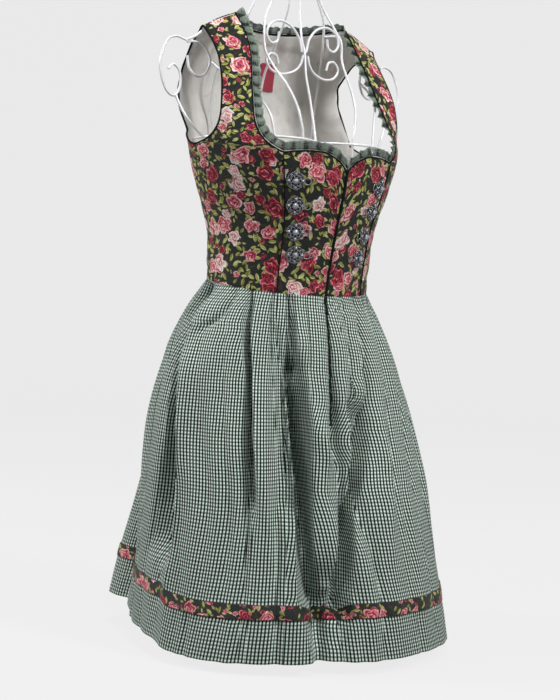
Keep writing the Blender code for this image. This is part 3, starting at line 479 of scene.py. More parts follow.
def outward(points, normals):
    """In-surface directions that leave the panel, for a path seen with it on the right."""
    return unit(np.cross(normals, along_ring(points)))


def neck_ring(count):
    """The whole neckline as a closed path: points, normals and outward directions."""
    left_points, left_normals = neck_path()
    right_points = mirrored(left_points)[::-1][1:]
    right_normals = mirrored(left_normals)[::-1][1:]
    points, normals = resampled(np.vstack([left_points, right_points]),
                                np.vstack([left_normals, right_normals]), count, True)
    normals = smoothed(normals, 2)
    return points, normals, outward(points, normals)


def pleat_columns():
    """Angle at the waist and at the hem for each column of the skirt."""
    waist_angles, hem_angles = [], []
    for number, (top, low, _, half, _) in enumerate(PLEATS):
        after = PLEATS[(number + 1) % len(PLEATS)]
        wrap = 360.0 if number == len(PLEATS) - 1 else 0.0
        for angles, first, last, share in ((waist_angles, top, after[0] + wrap, WAIST_SHARE),
                                           (hem_angles, low, after[1] + wrap, 1.0)):
            angles += [first, first + half * share, (first + last) / 2,
                       last - after[3] * share]
    return np.array(waist_angles), np.array(hem_angles)


def skirt_row(share, waist_angles, hem_angles):
    """One row of the skirt at a share of its length below the waist."""
    ease = min(1.0, share / LEAN_END)
    angles = waist_angles + (hem_angles - waist_angles) * ease
    plain = half_turn(angles)
    half_width, front, back = look_up(SKIRT, share)
    growth = look_up(PLEAT_GROWTH, share)[0]
    valley = np.zeros_like(angles)
    for top, low, depth, half, left in PLEATS:
        centre = top + (low - top) * ease
        width = half * (WAIST_SHARE + (1 - WAIST_SHARE) * ease)
        away = half_turn(plain - centre)
        fade = left ** max(0.0, (share - FADE_START) / (1 - FADE_START))
        valley += depth * growth * fade * np.exp(-(away / width) ** 2)
    turn = np.radians(plain)
    depth = np.where(np.cos(turn) > 0, front, back)
    ring = np.stack([half_width * np.sin(turn), -depth * np.cos(turn)], -1)
    direction = unit(np.stack([np.sin(turn), -np.cos(turn)], -1))
    hem, reach = look_up(HEM, plain)
    spread = max(0.0, (share - REACH_START) / (1 - REACH_START))
    ring = ring + direction * (reach * spread - valley)[:, None]
    top_height = waist(plain) - SEAM_GAP / 2
    return np.column_stack([ring, top_height + share * (hem - top_height)])


def skirt_shares():
    """Shares of the length at which the skirt has its rows."""
    length = WAIST_HEIGHT - HEM_HEIGHT
    return SKIRT_LEVELS + [1 - RIBBON_TOP / length, 1 - RIBBON_BOTTOM / length, 1.0]


def placket_grid(rows, valley):
    """The placket's outside: a level strip between the two sides of its pleat."""
    bottom = rows[:, valley]
    left, right = rows[:, valley - 1], rows[:, valley + 1]
    share = PLACKET_MOUTH / np.linalg.norm(right - left, axis=-1, keepdims=True)
    sides = narrowed(bottom + share * (left - bottom), bottom + share * (right - bottom),
                     2 * PLACKET_INSET)
    grid = np.stack([sides[0], (sides[0] + sides[1]) / 2, sides[1]], axis=1)
    grid[-1, :, 2] -= 8 * SEAM_GAP
    return grid


def rise(place, normal):
    """How far the front panel's facets stand above a place, under a brooch."""
    panel = (FRONT * (np.sign(place[0]), 1, 1))[..., None, None, :]
    u, v = np.meshgrid(*[np.linspace(0, 1, 9)] * 2)
    u, v = u[..., None], v[..., None]
    a, b, c, d = panel[:-1, :-1], panel[:-1, 1:], panel[1:, :-1], panel[1:, 1:]
    apart = (a * (1 - u) + b * u) * (1 - v) + (c * (1 - u) + d * u) * v - place
    under = np.linalg.norm(apart, axis=-1) < BROOCH_RADIUS
    return max(0.0, float((apart @ np.array(normal))[under].max()))


# ---------------------------------------------------------------- node-material helpers
def rgba(value):
    """A colour as a node socket takes it; anything else as it is."""
    if isinstance(value, tuple) and len(value) == 3:
        return (*value, 1.0)
    return value


def srgb(red, green, blue):
    """Linear colour from 8-bit screen values."""
    shares = [c / 255 for c in (red, green, blue)]
    return tuple(c / 12.92 if c <= 0.04045 else ((c + 0.055) / 1.055) ** 2.4 for c in shares)


def palette(*rows):
    """Stops of a colour ramp. Each row: place, then the 8-bit screen colour."""
    return [(place, srgb(*colour)) for place, *colour in rows]


class Look:
    """A material and short calls that add its nodes."""

    def __init__(self, name, roughness=0.8, metallic=0.0, sheen=0.0, specular=0.5,
                 coat=0.0):
        self.material = bpy.data.materials.new(name)
        self.material.use_nodes = True
        self.tree = self.material.node_tree
        self.shader = self.tree.nodes["Principled BSDF"]
        for socket, value in (("Roughness", roughness), ("Metallic", metallic),
                              ("Sheen Weight", sheen), ("Specular IOR Level", specular),
                              ("Coat Weight", coat)):
            self.shader.inputs[socket].default_value = value

    def feed(self, socket, value):
        """Link a socket to another one, or set its number or colour."""
        if isinstance(value, bpy.types.NodeSocket):
            self.tree.links.new(value, socket)
        else:
            socket.default_value = value

    def node(self, kind, *values, **settings):
        """A new shader node; None leaves an input as it is."""
        made = self.tree.nodes.new("ShaderNode" + kind)
        for key, setting in settings.items():
            setattr(made, key, setting)
        for place, value in enumerate(values):
            if value is not None:
                self.feed(made.inputs[place], value)
        return made

    def math(self, operation, *values, clamp=False):
        return self.node("Math", *values, operation=operation, use_clamp=clamp).outputs[0]

    def plus(self, first, second, clamp=False):
        return self.math("ADD", first, second, clamp=clamp)

    def minus(self, first, second):
        return self.math("SUBTRACT", first, second)

    def times(self, first, second):
        return self.math("MULTIPLY", first, second)

    def over(self, first, second):
        return self.math("DIVIDE", first, second)

    def scaled(self, value, factor, offset):
        """A value times a factor plus an offset."""
        return self.math("MULTIPLY_ADD", value, factor, offset)

    def absolute(self, value):
        return self.math("ABSOLUTE", value)

    def sine(self, value):
        return self.math("SINE", value)

    def wave(self, distance, pitch):
        """A sine wave over a distance."""
        return self.sine(self.times(distance, 2 * pi / pitch))

    def vector(self, operation, *values):
        return self.node("VectorMath", *values, operation=operation)

    def moved(self, where, shift):
        return self.vector("ADD", where, shift).outputs[0]

    def length(self, vector):
        return self.vector("LENGTH", vector).outputs["Value"]

    def split(self, vector):
        return self.node("SeparateXYZ", vector).outputs

    def mix(self, share, first, second, blend="MIX"):
        made = self.node("Mix", data_type="RGBA", blend_type=blend)
        self.feed(made.inputs[0], share)
        self.feed(made.inputs[6], rgba(first))
        self.feed(made.inputs[7], rgba(second))
        return made.outputs[2]

    def step(self, value, start, end, low=0.0, high=1.0):
        """A smooth step from low to high as the value goes from start to end."""
        return self.node("MapRange", value, start, end, low, high,
                         interpolation_type="SMOOTHSTEP").outputs[0]

    def ramp(self, value, stops):
        """A colour ramp with the stops of a palette."""
        made = self.node("ValToRGB", value)
        elements = made.color_ramp.elements
        while len(elements) < len(stops):
            elements.new(0.5)
        for element, (place, colour) in zip(elements, stops):
            element.position = place
            element.color = rgba(colour)
        return made.outputs[0]

    def uv(self):
        """The piece's own cloth coordinates, in metres."""
        return self.node("UVMap", uv_map="cloth").outputs[0]

    def place(self):
        """The place on the object, in metres."""
        return self.node("TexCoord").outputs["Object"]

    def noise(self, where, scale, detail=2.0):
        return self.node("TexNoise", where, None, scale, detail).outputs["Fac"]

    def cells(self, where, cell, feature="F1", randomness=1.0):
        """Round or edged cells of a mean size, in metres."""
        made = self.node("TexVoronoi", where, voronoi_dimensions="2D", feature=feature)
        made.inputs["Scale"].default_value = 1.0 / cell
        made.inputs["Randomness"].default_value = randomness
        return made

    def colour(self, value):
        self.feed(self.shader.inputs["Base Color"], rgba(value))

    def bump(self, height, strength, distance):
        made = self.node("Bump", strength, distance)
        self.feed(made.inputs["Height"], height)
        self.feed(self.shader.inputs["Normal"], made.outputs[0])

    def weave(self, where, pitch, strength):
        """A plain weave's relief: threads over and under each other."""
        u, v, _ = self.split(where)
        warp = self.wave(u, pitch)
        weft = self.wave(v, pitch)
        self.bump(self.times(warp, weft), strength, THREAD_HEIGHT)


# ---------------------------------------------------------------- printed roses
# Sizes of the print are in metres of cloth: the mean distance between motifs, a rose's
# radius, a leaf's half length and half width, and how far the cells are shifted.
FULL_TURN = 6.283          # radians
PETALS = 5                 # round a rose
PETAL_RINGS = 3.1          # from its heart to its edge
SPREAD_OF_CHANCE = 57.0    # turns one random number into another
GROUND = srgb(12, 19, 16)
CRIMSON = palette((0.0, 40, 4, 14), (0.3, 112, 12, 34), (0.6, 178, 34, 58),
                  (0.85, 226, 98, 114), (1.0, 244, 158, 164))
ROSY = palette((0.0, 112, 12, 36), (0.25, 190, 56, 78), (0.55, 236, 130, 140),
               (0.85, 252, 206, 202), (1.0, 255, 236, 230))
CREAM = palette((0.0, 176, 60, 76), (0.22, 224, 146, 146), (0.5, 246, 212, 204),
                (0.85, 254, 240, 232), (1.0, 255, 250, 244))
LEAF = palette((0.0, 44, 52, 24), (0.35, 116, 120, 50), (0.7, 182, 180, 98),
               (1.0, 214, 214, 148))
# Roses of the bodice: distance, radius, shift of the cells.
LARGE_ROSES = (0.044, 0.0138, (0.239, 0.377, 0))
MEDIUM_ROSES = (0.030, 0.0096, (0.913, 0.611, 0))
BUDS = (0.022, 0.0046, (0.551, 0.219, 0))
LEAF_SHIFTS = [(0.173, 0.871, 0), (0.311, 0.127, 0), (0.717, 0.433, 0)]
# Leaves: distance, half length, half width, shift of the cells, share of cells.
BODICE_LEAVES = [
    (0.010, 0.0038, 0.0016, LEAF_SHIFTS[0], 0.40),
    (0.012, 0.0052, 0.0023, LEAF_SHIFTS[1], 0.56),
    (0.015, 0.0068, 0.0030, LEAF_SHIFTS[2], 0.66),
]
# The ribbon's one row of roses, with the buds and leaves between them.
RIBBON_ROSES = (0.031, 0.0116, (0.0, 0.0155, 0))
RIBBON_BUDS = (0.014, 0.0036, BUDS[2])
RIBBON_LEAVES = [
    (0.009, 0.0040, 0.0018, LEAF_SHIFTS[1], 0.46),
    (0.012, 0.0056, 0.0025, LEAF_SHIFTS[2], 0.46),
]


def local_to_cell(look, where, cell, shift, randomness):
    """Position inside the nearest cell, and that cell's three random numbers."""
    moved = look.moved(where, shift)
    cells = look.cells(moved, cell, randomness=randomness)
    inside = look.vector("SUBTRACT", moved, cells.outputs["Position"]).outputs[0]
    chance = look.node("SeparateColor", cells.outputs["Color"]).outputs
    return inside, chance


def bloom(look, where, below, cell, radius, shift, palettes, share, randomness=0.8):
    """Roses over a colour: ruffled petals round a heart, with a petalled outline."""
    inside, chance = local_to_cell(look, where, cell, shift, randomness)
    bend = look.node("TexNoise", where, None, 0.75 / radius, 2.0).outputs["Color"]
    bend = look.vector("MULTIPLY_ADD", bend, (radius * 1.1,) * 3, (radius * -0.55,) * 3)
    inside = look.moved(inside, bend.outputs[0])
    x, y, _ = look.split(inside)
    turn = look.scaled(chance[1], FULL_TURN, look.math("ARCTAN2", y, x))
    lobes = look.scaled(turn, PETALS / 2, look.times(chance[2], 40.0))
    lobes = look.absolute(look.sine(lobes))
    size = look.scaled(chance[0], radius * 0.40, radius * 0.72)
    size = look.times(size, look.scaled(lobes, 0.26, 0.86))
    reach = look.over(look.length(inside), size)
    # Petals are the cells of a polar grid: the turn across, the rings outwards.
    round_about = look.scaled(turn, PETALS / (2 * pi), look.times(reach, 0.9))
    outward_steps = look.scaled(reach, PETAL_RINGS, look.times(chance[2], SPREAD_OF_CHANCE))
    polar = look.node("CombineXYZ", round_about, outward_steps).outputs[0]
    petals = look.cells(polar, 1.0, randomness=0.8)
    seat = look.split(petals.outputs["Position"])[1]
    depth = look.minus(outward_steps, seat)
    ring = look.over(look.scaled(chance[2], -SPREAD_OF_CHANCE, seat), PETAL_RINGS)
    here = look.times(look.step(ring, 0.95, 0.88), look.step(reach, 1.14, 1.06))
    here = look.times(here, look.math("LESS_THAN", chance[2], share))
    # A petal is light at its outer edge, dark at its crease, and the heart is darker.
    shade = look.scaled(depth, 0.95, 0.44)
    shade = look.plus(shade, look.scaled(ring, 0.30, -0.14))
    fold = look.cells(polar, 1.0, feature="DISTANCE_TO_EDGE", randomness=0.8)
    crease = look.step(fold.outputs["Distance"], 0.0, 0.10, 0.30, 1.0)
    shade = look.times(shade, crease)
    own = look.node("SeparateColor", petals.outputs["Color"]).outputs[0]
    shade = look.plus(shade, look.scaled(own, 0.40, -0.20), clamp=True)
    tint = look.ramp(shade, palettes[0])
    for number, stops in enumerate(palettes[1:], start=1):
        limit = share * number / len(palettes)
        tint = look.mix(look.math("GREATER_THAN", chance[2], limit), tint,
                        look.ramp(shade, stops))
    return look.mix(here, below, tint)


def near_rose(look, where, cell, radius, shift, randomness):
    """1 round the roses that bloom() puts in the same cells, 0 away from them."""
    inside, _ = local_to_cell(look, where, cell, shift, randomness)
    return look.step(look.length(inside), radius * 2.7, radius * 1.8)


def leaves(look, where, below, cell, length, width, shift, share, mask):
    """Pointed leaves with a midrib, turned every way, over a colour."""
    inside, chance = local_to_cell(look, where, cell, shift, 1.0)
    turned = look.node("VectorRotate", inside, rotation_type="Z_AXIS")
    look.feed(turned.inputs["Angle"], look.times(chance[0], FULL_TURN))
    x, y, _ = look.split(turned.outputs[0])
    along = look.over(x, length)
    bulge = look.minus(1.0, look.times(along, along))
    side = look.over(y, width)
    gap = look.minus(bulge, look.absolute(side))
    here = look.step(gap, 0.0, 0.22)
    likely = look.times(mask, share)
    here = look.times(here, look.math("LESS_THAN", chance[2], likely))
    vein = look.step(look.absolute(side), 0.04, 0.2)
    half = look.scaled(look.math("GREATER_THAN", side, 0.0), 0.26, 0.26)
    shade = look.scaled(chance[1], 0.55, half)
    shade = look.times(shade, look.scaled(vein, 0.4, 0.6))
    return look.mix(here, below, look.ramp(shade, LEAF))


def dark_ground(look, where):
    """The print's near-black green ground with thin burgundy twigs."""
    bend = look.noise(where, 90.0)
    spread = look.scaled(bend, 0.014, -0.007)
    swayed = look.moved(where, look.node("CombineXYZ", spread, spread).outputs[0])
    twigs = look.cells(swayed, 0.021, feature="DISTANCE_TO_EDGE")
    line = look.step(twigs.outputs["Distance"], 0.035, 0.018)
    line = look.times(line, look.step(bend, 0.40, 0.55))
    ground = look.mix(look.noise(where, 60.0, 3.0), GROUND, srgb(19, 28, 23))
    tone = look.mix(look.times(line, 0.8), ground, srgb(84, 46, 36))
    mauve = look.step(look.noise(where, 120.0, 3.0), 0.60, 0.70)
    return look.mix(look.times(mauve, 0.55), tone, srgb(62, 34, 44))


def rose_print(look, where):
    """Roses, buds, leaves and twigs on a near-black green ground."""
    mask = look.math("MAXIMUM", near_rose(look, where, *LARGE_ROSES, 0.70),
                     near_rose(look, where, *MEDIUM_ROSES, 0.75))
    tone = dark_ground(look, where)
    for row in BODICE_LEAVES:
        tone = leaves(look, where, tone, *row, mask)
    tone = bloom(look, where, tone, *BUDS, (CRIMSON, ROSY), 0.42)
    tone = bloom(look, where, tone, *MEDIUM_ROSES, (CRIMSON, ROSY, CRIMSON, CREAM), 0.62, 0.78)
    return bloom(look, where, tone, *LARGE_ROSES, (CRIMSON, ROSY, CREAM, CRIMSON, ROSY),
                 0.88, 0.72)


def ribbon_print(look, where):
    """One row of roses along the ribbon, with leaves between them."""
    tone = dark_ground(look, where)
    for row in RIBBON_LEAVES:
        tone = leaves(look, where, tone, *row, 1.0)
    tone = bloom(look, where, tone, *RIBBON_BUDS, (CRIMSON, ROSY), 0.40)
    return bloom(look, where, tone, *RIBBON_ROSES, (CRIMSON, ROSY, CRIMSON, ROSY), 0.86, 0.35)


# ---------------------------------------------------------------- the materials
THREAD_HEIGHT = 0.0003     # relief of a woven thread
BODICE_THREAD = 0.0007     # pitch of the threads
SKIRT_THREAD = 0.0006
SATIN_THREAD = 0.0008
CORD_THREAD = 0.0011
LACE_MESH = 0.0016
LACE_SPRIG = 0.0046        # distance between the small dots of the lace
RIBBON_SELVEDGE = (0.0094, 0.0101)    # from the ribbon's middle line


def printed_rose_look():
    """The bodice's printed cotton, with a slight grain in its colours."""
    look = Look("rose_print", roughness=0.75, sheen=0.04, specular=0.25)
    where = look.uv()
    tone = rose_print(look, where)
    rough = look.step(look.noise(where, 520.0, 4.0), 0.30, 0.70)
    look.colour(look.mix(0.5, tone, look.scaled(rough, 0.70, 0.30), "OVERLAY"))
    look.weave(where, BODICE_THREAD, 0.35)
    return look.material


def ribbon_look():
    """The printed ribbon with its plain dark selvedges."""
    look = Look("ribbon_print", roughness=0.66, sheen=0.04, specular=0.3)
    where = look.uv()
    tone = ribbon_print(look, where)
    _, high, _ = look.split(where)
    rim = look.step(look.absolute(high), *RIBBON_SELVEDGE)
    look.colour(look.mix(rim, tone, srgb(20, 26, 23)))
    look.weave(where, SKIRT_THREAD, 0.35)
    return look.material


def gingham_look():
    """Small woven checks, their edges a little uneven, with single threads showing."""
    look = Look("gingham", roughness=0.85, sheen=0.03, specular=0.2)
    where = look.uv()
    u, v, _ = look.split(where)
    drift = look.noise(where, 35.0)
    tones = [look.step(look.wave(look.scaled(drift, 0.0008, side), CHECK), -0.10, 0.06)
             for side in (u, v)]
    both = look.scaled(tones[1], 1 - WARP_SHARE, look.times(tones[0], WARP_SHARE))
    thread = look.scaled(look.noise(where, 1500.0), 0.20, -0.10)
    both = look.plus(both, thread, clamp=True)
    look.colour(look.ramp(both, palette((0.0, 11, 17, 15), (0.40, 48, 66, 57),
                                        (0.60, 134, 158, 142), (1.0, 240, 250, 243))))
    look.weave(where, SKIRT_THREAD, 0.45)
    return look.material


def gingham_inside_look():
    """The same checks on the skirt's paler inside."""
    look = Look("gingham_inside", roughness=0.9, sheen=0.1, specular=0.25)
    where = look.uv()
    tones = [look.step(look.wave(side, CHECK), -0.25, 0.25)
             for side in look.split(where)[:2]]
    both = look.times(look.plus(*tones), 0.5)
    look.colour(look.ramp(both, palette((0.0, 34, 42, 38), (0.5, 108, 128, 116),
                                        (1.0, 208, 218, 210))))
    look.weave(where, SKIRT_THREAD, 0.45)
    return look.material


def lining_look():
    """Pale lining, through which the print's pinks and greens show faintly."""
    look = Look("lining", roughness=0.55, sheen=0.25, specular=0.45)
    where = look.place()
    base = look.mix(look.noise(where, 22.0, 3.0), srgb(224, 221, 216), srgb(240, 238, 232))
    pink = look.step(look.noise(where, 48.0), 0.56, 0.72)
    base = look.mix(look.times(pink, 0.24), base, srgb(206, 138, 138))
    green = look.step(look.noise(look.moved(where, (3.1, 1.7, 0.4)), 55.0), 0.58, 0.74)
    look.colour(look.mix(look.times(green, 0.20), base, srgb(150, 160, 140)))
    look.bump(look.noise(where, 1400.0), 0.12, THREAD_HEIGHT)
    return look.material


def piping_look():
    """Near-black twisted cord and tape."""
    look = Look("piping", roughness=0.85, specular=0.08)
    u, v, _ = look.split(look.uv())
    twill = look.sine(look.scaled(u, 2 * pi / CORD_THREAD, look.times(v, 2 * pi)))
    look.colour(look.ramp(look.scaled(twill, 0.5, 0.5),
                          palette((0.0, 8, 12, 10), (1.0, 26, 36, 31))))
    look.bump(twill, 0.35, 0.0002)
    return look.material


def lace_look():
    """Grey-green lace: a net between sprigs, a solid root and a paler scalloped rim, with
    painted shade between the gathers and towards the root.
    """
    look = Look("lace", roughness=0.9, sheen=0.05, specular=0.15)
    where = look.uv()
    u, v, _ = look.split(where)
    slants = (look.plus(u, v), look.minus(u, v))
    cords = [look.absolute(look.sine(look.times(slant, pi / LACE_MESH))) for slant in slants]
    net = look.step(look.math("MINIMUM", *cords), 0.62, 0.42)
    rim = look.step(v, RUFFLE_HEIGHT * 0.76, RUFFLE_HEIGHT * 0.82)
    root = look.step(v, 0.0030, 0.0022)
    dots = look.cells(where, LACE_SPRIG, randomness=0.25)
    sprig = look.step(dots.outputs["Distance"], 0.34, 0.28)
    solid = look.math("MAXIMUM", look.math("MAXIMUM", rim, root),
                      look.math("MAXIMUM", net, sprig))
    # Painted shade: the colour darkens between the gathers, wave by wave, with some random
    # unevenness.
    gather = look.wave(u, RUFFLE_RUN)
    gather = look.scaled(look.noise(where, 260.0), 0.9, gather)
    tone = look.mix(look.step(gather, -0.35, 1.0), srgb(30, 40, 35), srgb(134, 150, 136))
    # Painted shade: darker towards the root of the lace.
    low = look.step(v, RUFFLE_HEIGHT * 0.55, 0.0)
    tone = look.mix(look.times(low, 0.45), tone, srgb(22, 30, 26))
    look.colour(look.mix(look.times(rim, 0.5), tone, srgb(160, 174, 160)))
    look.feed(look.shader.inputs["Alpha"], look.scaled(solid, 0.74, 0.26))
    look.bump(solid, 0.5, 0.0004)
    return look.material


def label_look():
    """Red satin, with no writing."""
    look = Look("label", roughness=0.5, sheen=0.2, specular=0.5)
    u, v, _ = look.split(look.uv())
    satin = look.wave(look.plus(u, v), SATIN_THREAD)
    look.colour(look.mix(look.scaled(satin, 0.2, 0.3), srgb(158, 14, 50), srgb(196, 40, 74)))
    look.bump(satin, 0.2, 0.0002)
    return look.material


def metal_look(name, dark, light, roughness):
    """Old silver, bright or tarnished, between two greys."""
    look = Look(name, roughness=roughness, metallic=1.0)
    grain = look.noise(look.place(), 900.0, 3.0)
    look.colour(look.mix(grain, srgb(*dark), srgb(*light)))
    look.bump(grain, 0.3, 0.0003)
    return look.material


def crystal_look():
    """Cut glass: a blue-grey tone with near-white patches of painted glints on its facets."""
    look = Look("crystal", roughness=0.06, specular=0.9, coat=0.6)
    # Painted glints: noise mixes near-white patches into the glass's blue-grey colour.
    grain = look.step(look.noise(look.place(), 900.0, 1.0), 0.40, 0.62)
    look.colour(look.mix(grain, srgb(92, 102, 134), srgb(236, 240, 250)))
    return look.material


def paint_look():
    """White enamel on the form's wires, slightly uneven."""
    look = Look("white_paint", roughness=0.34, specular=0.8, coat=1.0)
    where = look.place()
    wear = look.step(look.noise(where, 60.0, 4.0), 0.35, 0.75)
    look.colour(look.mix(wear, srgb(250, 250, 253), srgb(236, 237, 242)))
    look.bump(look.noise(where, 420.0, 3.0), 0.15, 0.0006)
    return look.material


LOOKS = {
    "rose": printed_rose_look(),
    "ribbon": ribbon_look(),
    "gingham": gingham_look(),
    "gingham_inside": gingham_inside_look(),
    "lining": lining_look(),
    "piping": piping_look(),
    "lace": lace_look(),
    "label": label_look(),
    "silver": metal_look("silver", (34, 34, 36), (168, 168, 172), 0.26),
    # Near-black plate under the filigree: tarnish, and painted shade in the gaps between the
    # silver wires.
    "patina_and_shade": metal_look("patina_and_shade", (8, 8, 9), (34, 34, 36), 0.6),
    "crystal": crystal_look(),
    "paint": paint_look(),
}


# ---------------------------------------------------------------- mesh helpers
def fine(grid, rows, columns):
    """A coarse grid redrawn with smooth curves through its points."""
    return np.swapaxes(spline(np.swapaxes(spline(grid, rows), 0, 1), columns), 0, 1)


def fine_ring(grid, columns_each):
    """A ring's columns redrawn with so many steps between each pair."""
    count = grid.shape[1]
    wrapped = np.concatenate([grid[:, -2:], grid, grid[:, :3]], axis=1)
    line = spline(np.swapaxes(wrapped, 0, 1), (count + 4) * columns_each + 1)
    return np.swapaxes(line[2 * columns_each:(count + 2) * columns_each], 0, 1)


def fine_loop(path, steps_each):
    """The same for the points of a closed path."""
    return fine_ring(path[None].repeat(2, axis=0), steps_each)[0]


def steps_along(grid, axis):
    """Distance from the first row or column, along the grid."""
    lengths = np.linalg.norm(np.diff(grid, axis=axis), axis=-1)
    first = np.zeros_like(np.take(lengths, [0], axis=axis))
    return np.concatenate([first, np.cumsum(lengths, axis=axis)], axis=axis)


def closed_ring(grid):
    """A ring's grid with its first column once more at the end."""
    return np.concatenate([grid, grid[:, :1]], axis=1)


def cloth_uv(grid, shift=(0.0, 0.0)):
    """Cloth coordinates in metres: across from the middle column, up from the first row."""
    across_row = steps_along(grid, 1)
    across_row = across_row - across_row[:, grid.shape[1] // 2][:, None]
    up = steps_along(grid, 0).mean(axis=1, keepdims=True) + 0 * across_row
    return np.stack([across_row + shift[0], up + shift[1]], -1)


def band_uv(run, heights):
    """Cloth coordinates of a ring, both corners of each step: its run and row heights."""
    corners = [np.stack(np.broadcast_arrays(ends[None], heights[:, None]), -1)
               for ends in (run[:-1], run[1:])]
    return np.stack(corners, axis=2)


def link(name, data):
    """A new object of the scene for a mesh, a lamp or a camera."""
    made = bpy.data.objects.new(name, data)
    bpy.context.scene.collection.objects.link(made)
    return made


def build(name, points, faces, uvs, looks, which=None, sharp=50):
    """An object from arrays: one uv per face corner, one look number per face."""
    mesh = bpy.data.meshes.new(name)
    mesh.from_pydata([tuple(p) for p in points], [], faces)
    layer = mesh.uv_layers.new(name="cloth")
    layer.data.foreach_set("uv", np.asarray(uvs, np.float32).ravel())
    for look in looks:
        mesh.materials.append(look)
    if which is not None:
        mesh.polygons.foreach_set("material_index", np.asarray(which, np.int32))
    mesh.shade_smooth()
    mesh.set_sharp_from_angle(angle=radians(sharp))
    mesh.update()
    return link(name, mesh)


def shell(name, grid, thickness, uv, looks, ring=False, lift=0.0, corner_uv=None):
    """A thin shell whose outside is the grid: outside, inside and rim."""
    rows, columns = grid.shape[:2]
    normals = normals_of(grid, ring)
    outer = grid + normals * lift
    inner = outer - normals * thickness
    points = np.concatenate([outer.reshape(-1, 3), inner.reshape(-1, 3)])
    spans = columns if ring else columns - 1
    back = rows * columns            # the inside's points follow the outside's
    faces, uvs, which = [], [], []
    if corner_uv is None:
        corner_uv = np.stack([uv[:, :spans], uv[:, 1:spans + 1]], axis=2)

    def rim(face, corners, turned):
        faces.append(face[::-1] if turned else face)
        uvs.append(corners[::-1] if turned else corners)
        which.append(0)

    for row in range(rows - 1):
        for column in range(spans):
            a, b = row * columns + column, row * columns + (column + 1) % columns
            c, d = a + columns, b + columns
            low, high = corner_uv[row, column], corner_uv[row + 1, column]
            faces.append((a, b, d, c))
            uvs.append((low[0], low[1], high[1], high[0]))
            faces.append((back + a, back + c, back + d, back + b))
            uvs.append((low[0], high[0], high[1], low[1]))
            which += [0, 1]
    for row in (0, rows - 1):
        for column in range(spans):
            a, b = row * columns + column, row * columns + (column + 1) % columns
            first, last = corner_uv[row, column]
            rim((a, back + a, back + b, b), (first, first, last, last), row > 0)
    if not ring:
        for column, side in ((0, 0), (columns - 1, 1)):
            span = min(column, spans - 1)
            for row in range(rows - 1):
                a, c = row * columns + column, (row + 1) * columns + column
                low, high = corner_uv[row, span, side], corner_uv[row + 1, span, side]
                rim((a, c, back + c, back + a), (low, high, high, low), column > 0)
    return build(name, points, faces, uvs, looks, which)


def rod(name, path, radius, look, ring=False, sides=10, twist=0.0, dent=0.0):
    """A cord or wire along a path, its section turning where it is twisted."""
    path = np.asarray(path, float)
    count = len(path)
    tangents = along_ring(path) if ring else unit(np.gradient(path, axis=0))
    side = unit(np.cross(tangents[0], (0.3, 0.5, 0.81)))
    lengths = np.linalg.norm(np.diff(path, axis=0), axis=1)
    run = np.concatenate([[0], np.cumsum(lengths)])
    points = []
    for place, tangent, far in zip(path, tangents, run):
        side = unit(side - tangent * np.dot(side, tangent))
        other = np.cross(tangent, side)
        for step in range(sides):
            turn = 2 * pi * step / sides
            reach = radius * (1 - dent + dent * cos(2 * turn - twist * far) ** 2)
            points.append(place + reach * (side * cos(turn) + other * sin(turn)))
    faces, uvs = [], []
    for row in range(count if ring else count - 1):
        below, above = row * sides, ((row + 1) % count) * sides
        start, end = run[row], run[row] + (lengths[row] if row < count - 1 else LAST_STEP)
        for step in range(sides):
            after = (step + 1) % sides
            faces.append((below + step, below + after, above + after, above + step))
            low, high = step / sides, (step + 1) / sides
            uvs.append(((start, low), (start, high), (end, high), (end, low)))
    if not ring:
        for first, order in ((0, -1), (len(points) - sides, 1)):
            faces.append(tuple(range(first, first + sides))[::order])
            uvs.append(((0.0, 0.0),) * sides)
    flat = [corner for face in uvs for corner in face]
    return build(name, points, faces, flat, [look], sharp=60)


def settle(piece, slot, *nodes):
    """Ride on the one body and stand for its solids, which are hidden; the slot is not used."""
    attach(piece, "root")
    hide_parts(*nodes)


def lay(node, surface, thickness, slot, looks, uv, cut=None):
    """A cloth shell that stands for a solid; the size it was cut to is not used."""
    piece = shell(node + "_cloth", surface, thickness, uv, looks)
    settle(piece, slot, node)
    cut = surface if cut is None else cut


# ---------------------------------------------------------------- soft forms
def ripples(points, size, seed, count=9):
    """Smooth uneven relief, about -1 to 1, from a few crossing waves."""
    chance = np.random.default_rng(seed)
    total = np.zeros(points.shape[:-1])
    for _ in range(count):
        way = unit(chance.normal(size=3))
        length = size * chance.uniform(0.7, 1.9)
        total += np.sin(points @ way * (2 * pi / length) + chance.uniform(0, 6.3))
    return total / count ** 0.5


def eased(values, edge):
    """1 inside a panel's edge rows or columns, falling to 0 at the seam."""
    places = np.linspace(0, 1, values)
    return np.clip(np.minimum(places, 1 - places) / edge, 0, 1) ** 0.5


def relief(grid, height):
    """The grid moved along its normals, by a height or by one for each point."""
    return grid + normals_of(grid) * np.broadcast_to(height, grid.shape[:2])[..., None]


def bodice_panel(name, grid, rows, columns, seed, shift, inside):
    """A panel with faint stretch wrinkles, held still along its seams."""
    smooth = fine(grid, rows, columns)
    hold = np.outer(eased(rows, 0.06), eased(columns, 0.12))
    faint = ripples(smooth * (1.0, 1.0, 2.2), 0.055, seed) * STRETCH_RELIEF
    at_waist = np.exp(-((smooth[..., 2] - WAIST_WRINKLES) / 0.03) ** 2)
    faint = faint + ripples(smooth * (0.5, 0.5, 3.0), 0.05, seed + 1) * at_waist * WAIST_RELIEF
    lay(name, relief(smooth, faint * hold), BODICE_SHELL, "rose_print",
        [LOOKS["rose"], LOOKS[inside]], cloth_uv(smooth, shift))


def lay_lining(name, surface):
    """A lining over the inside of the bodice panel of the same place."""
    lay("lining_" + name, surface, LINING_SHELL, "lining_cloth", [LOOKS["lining"]] * 2,
        cloth_uv(surface))


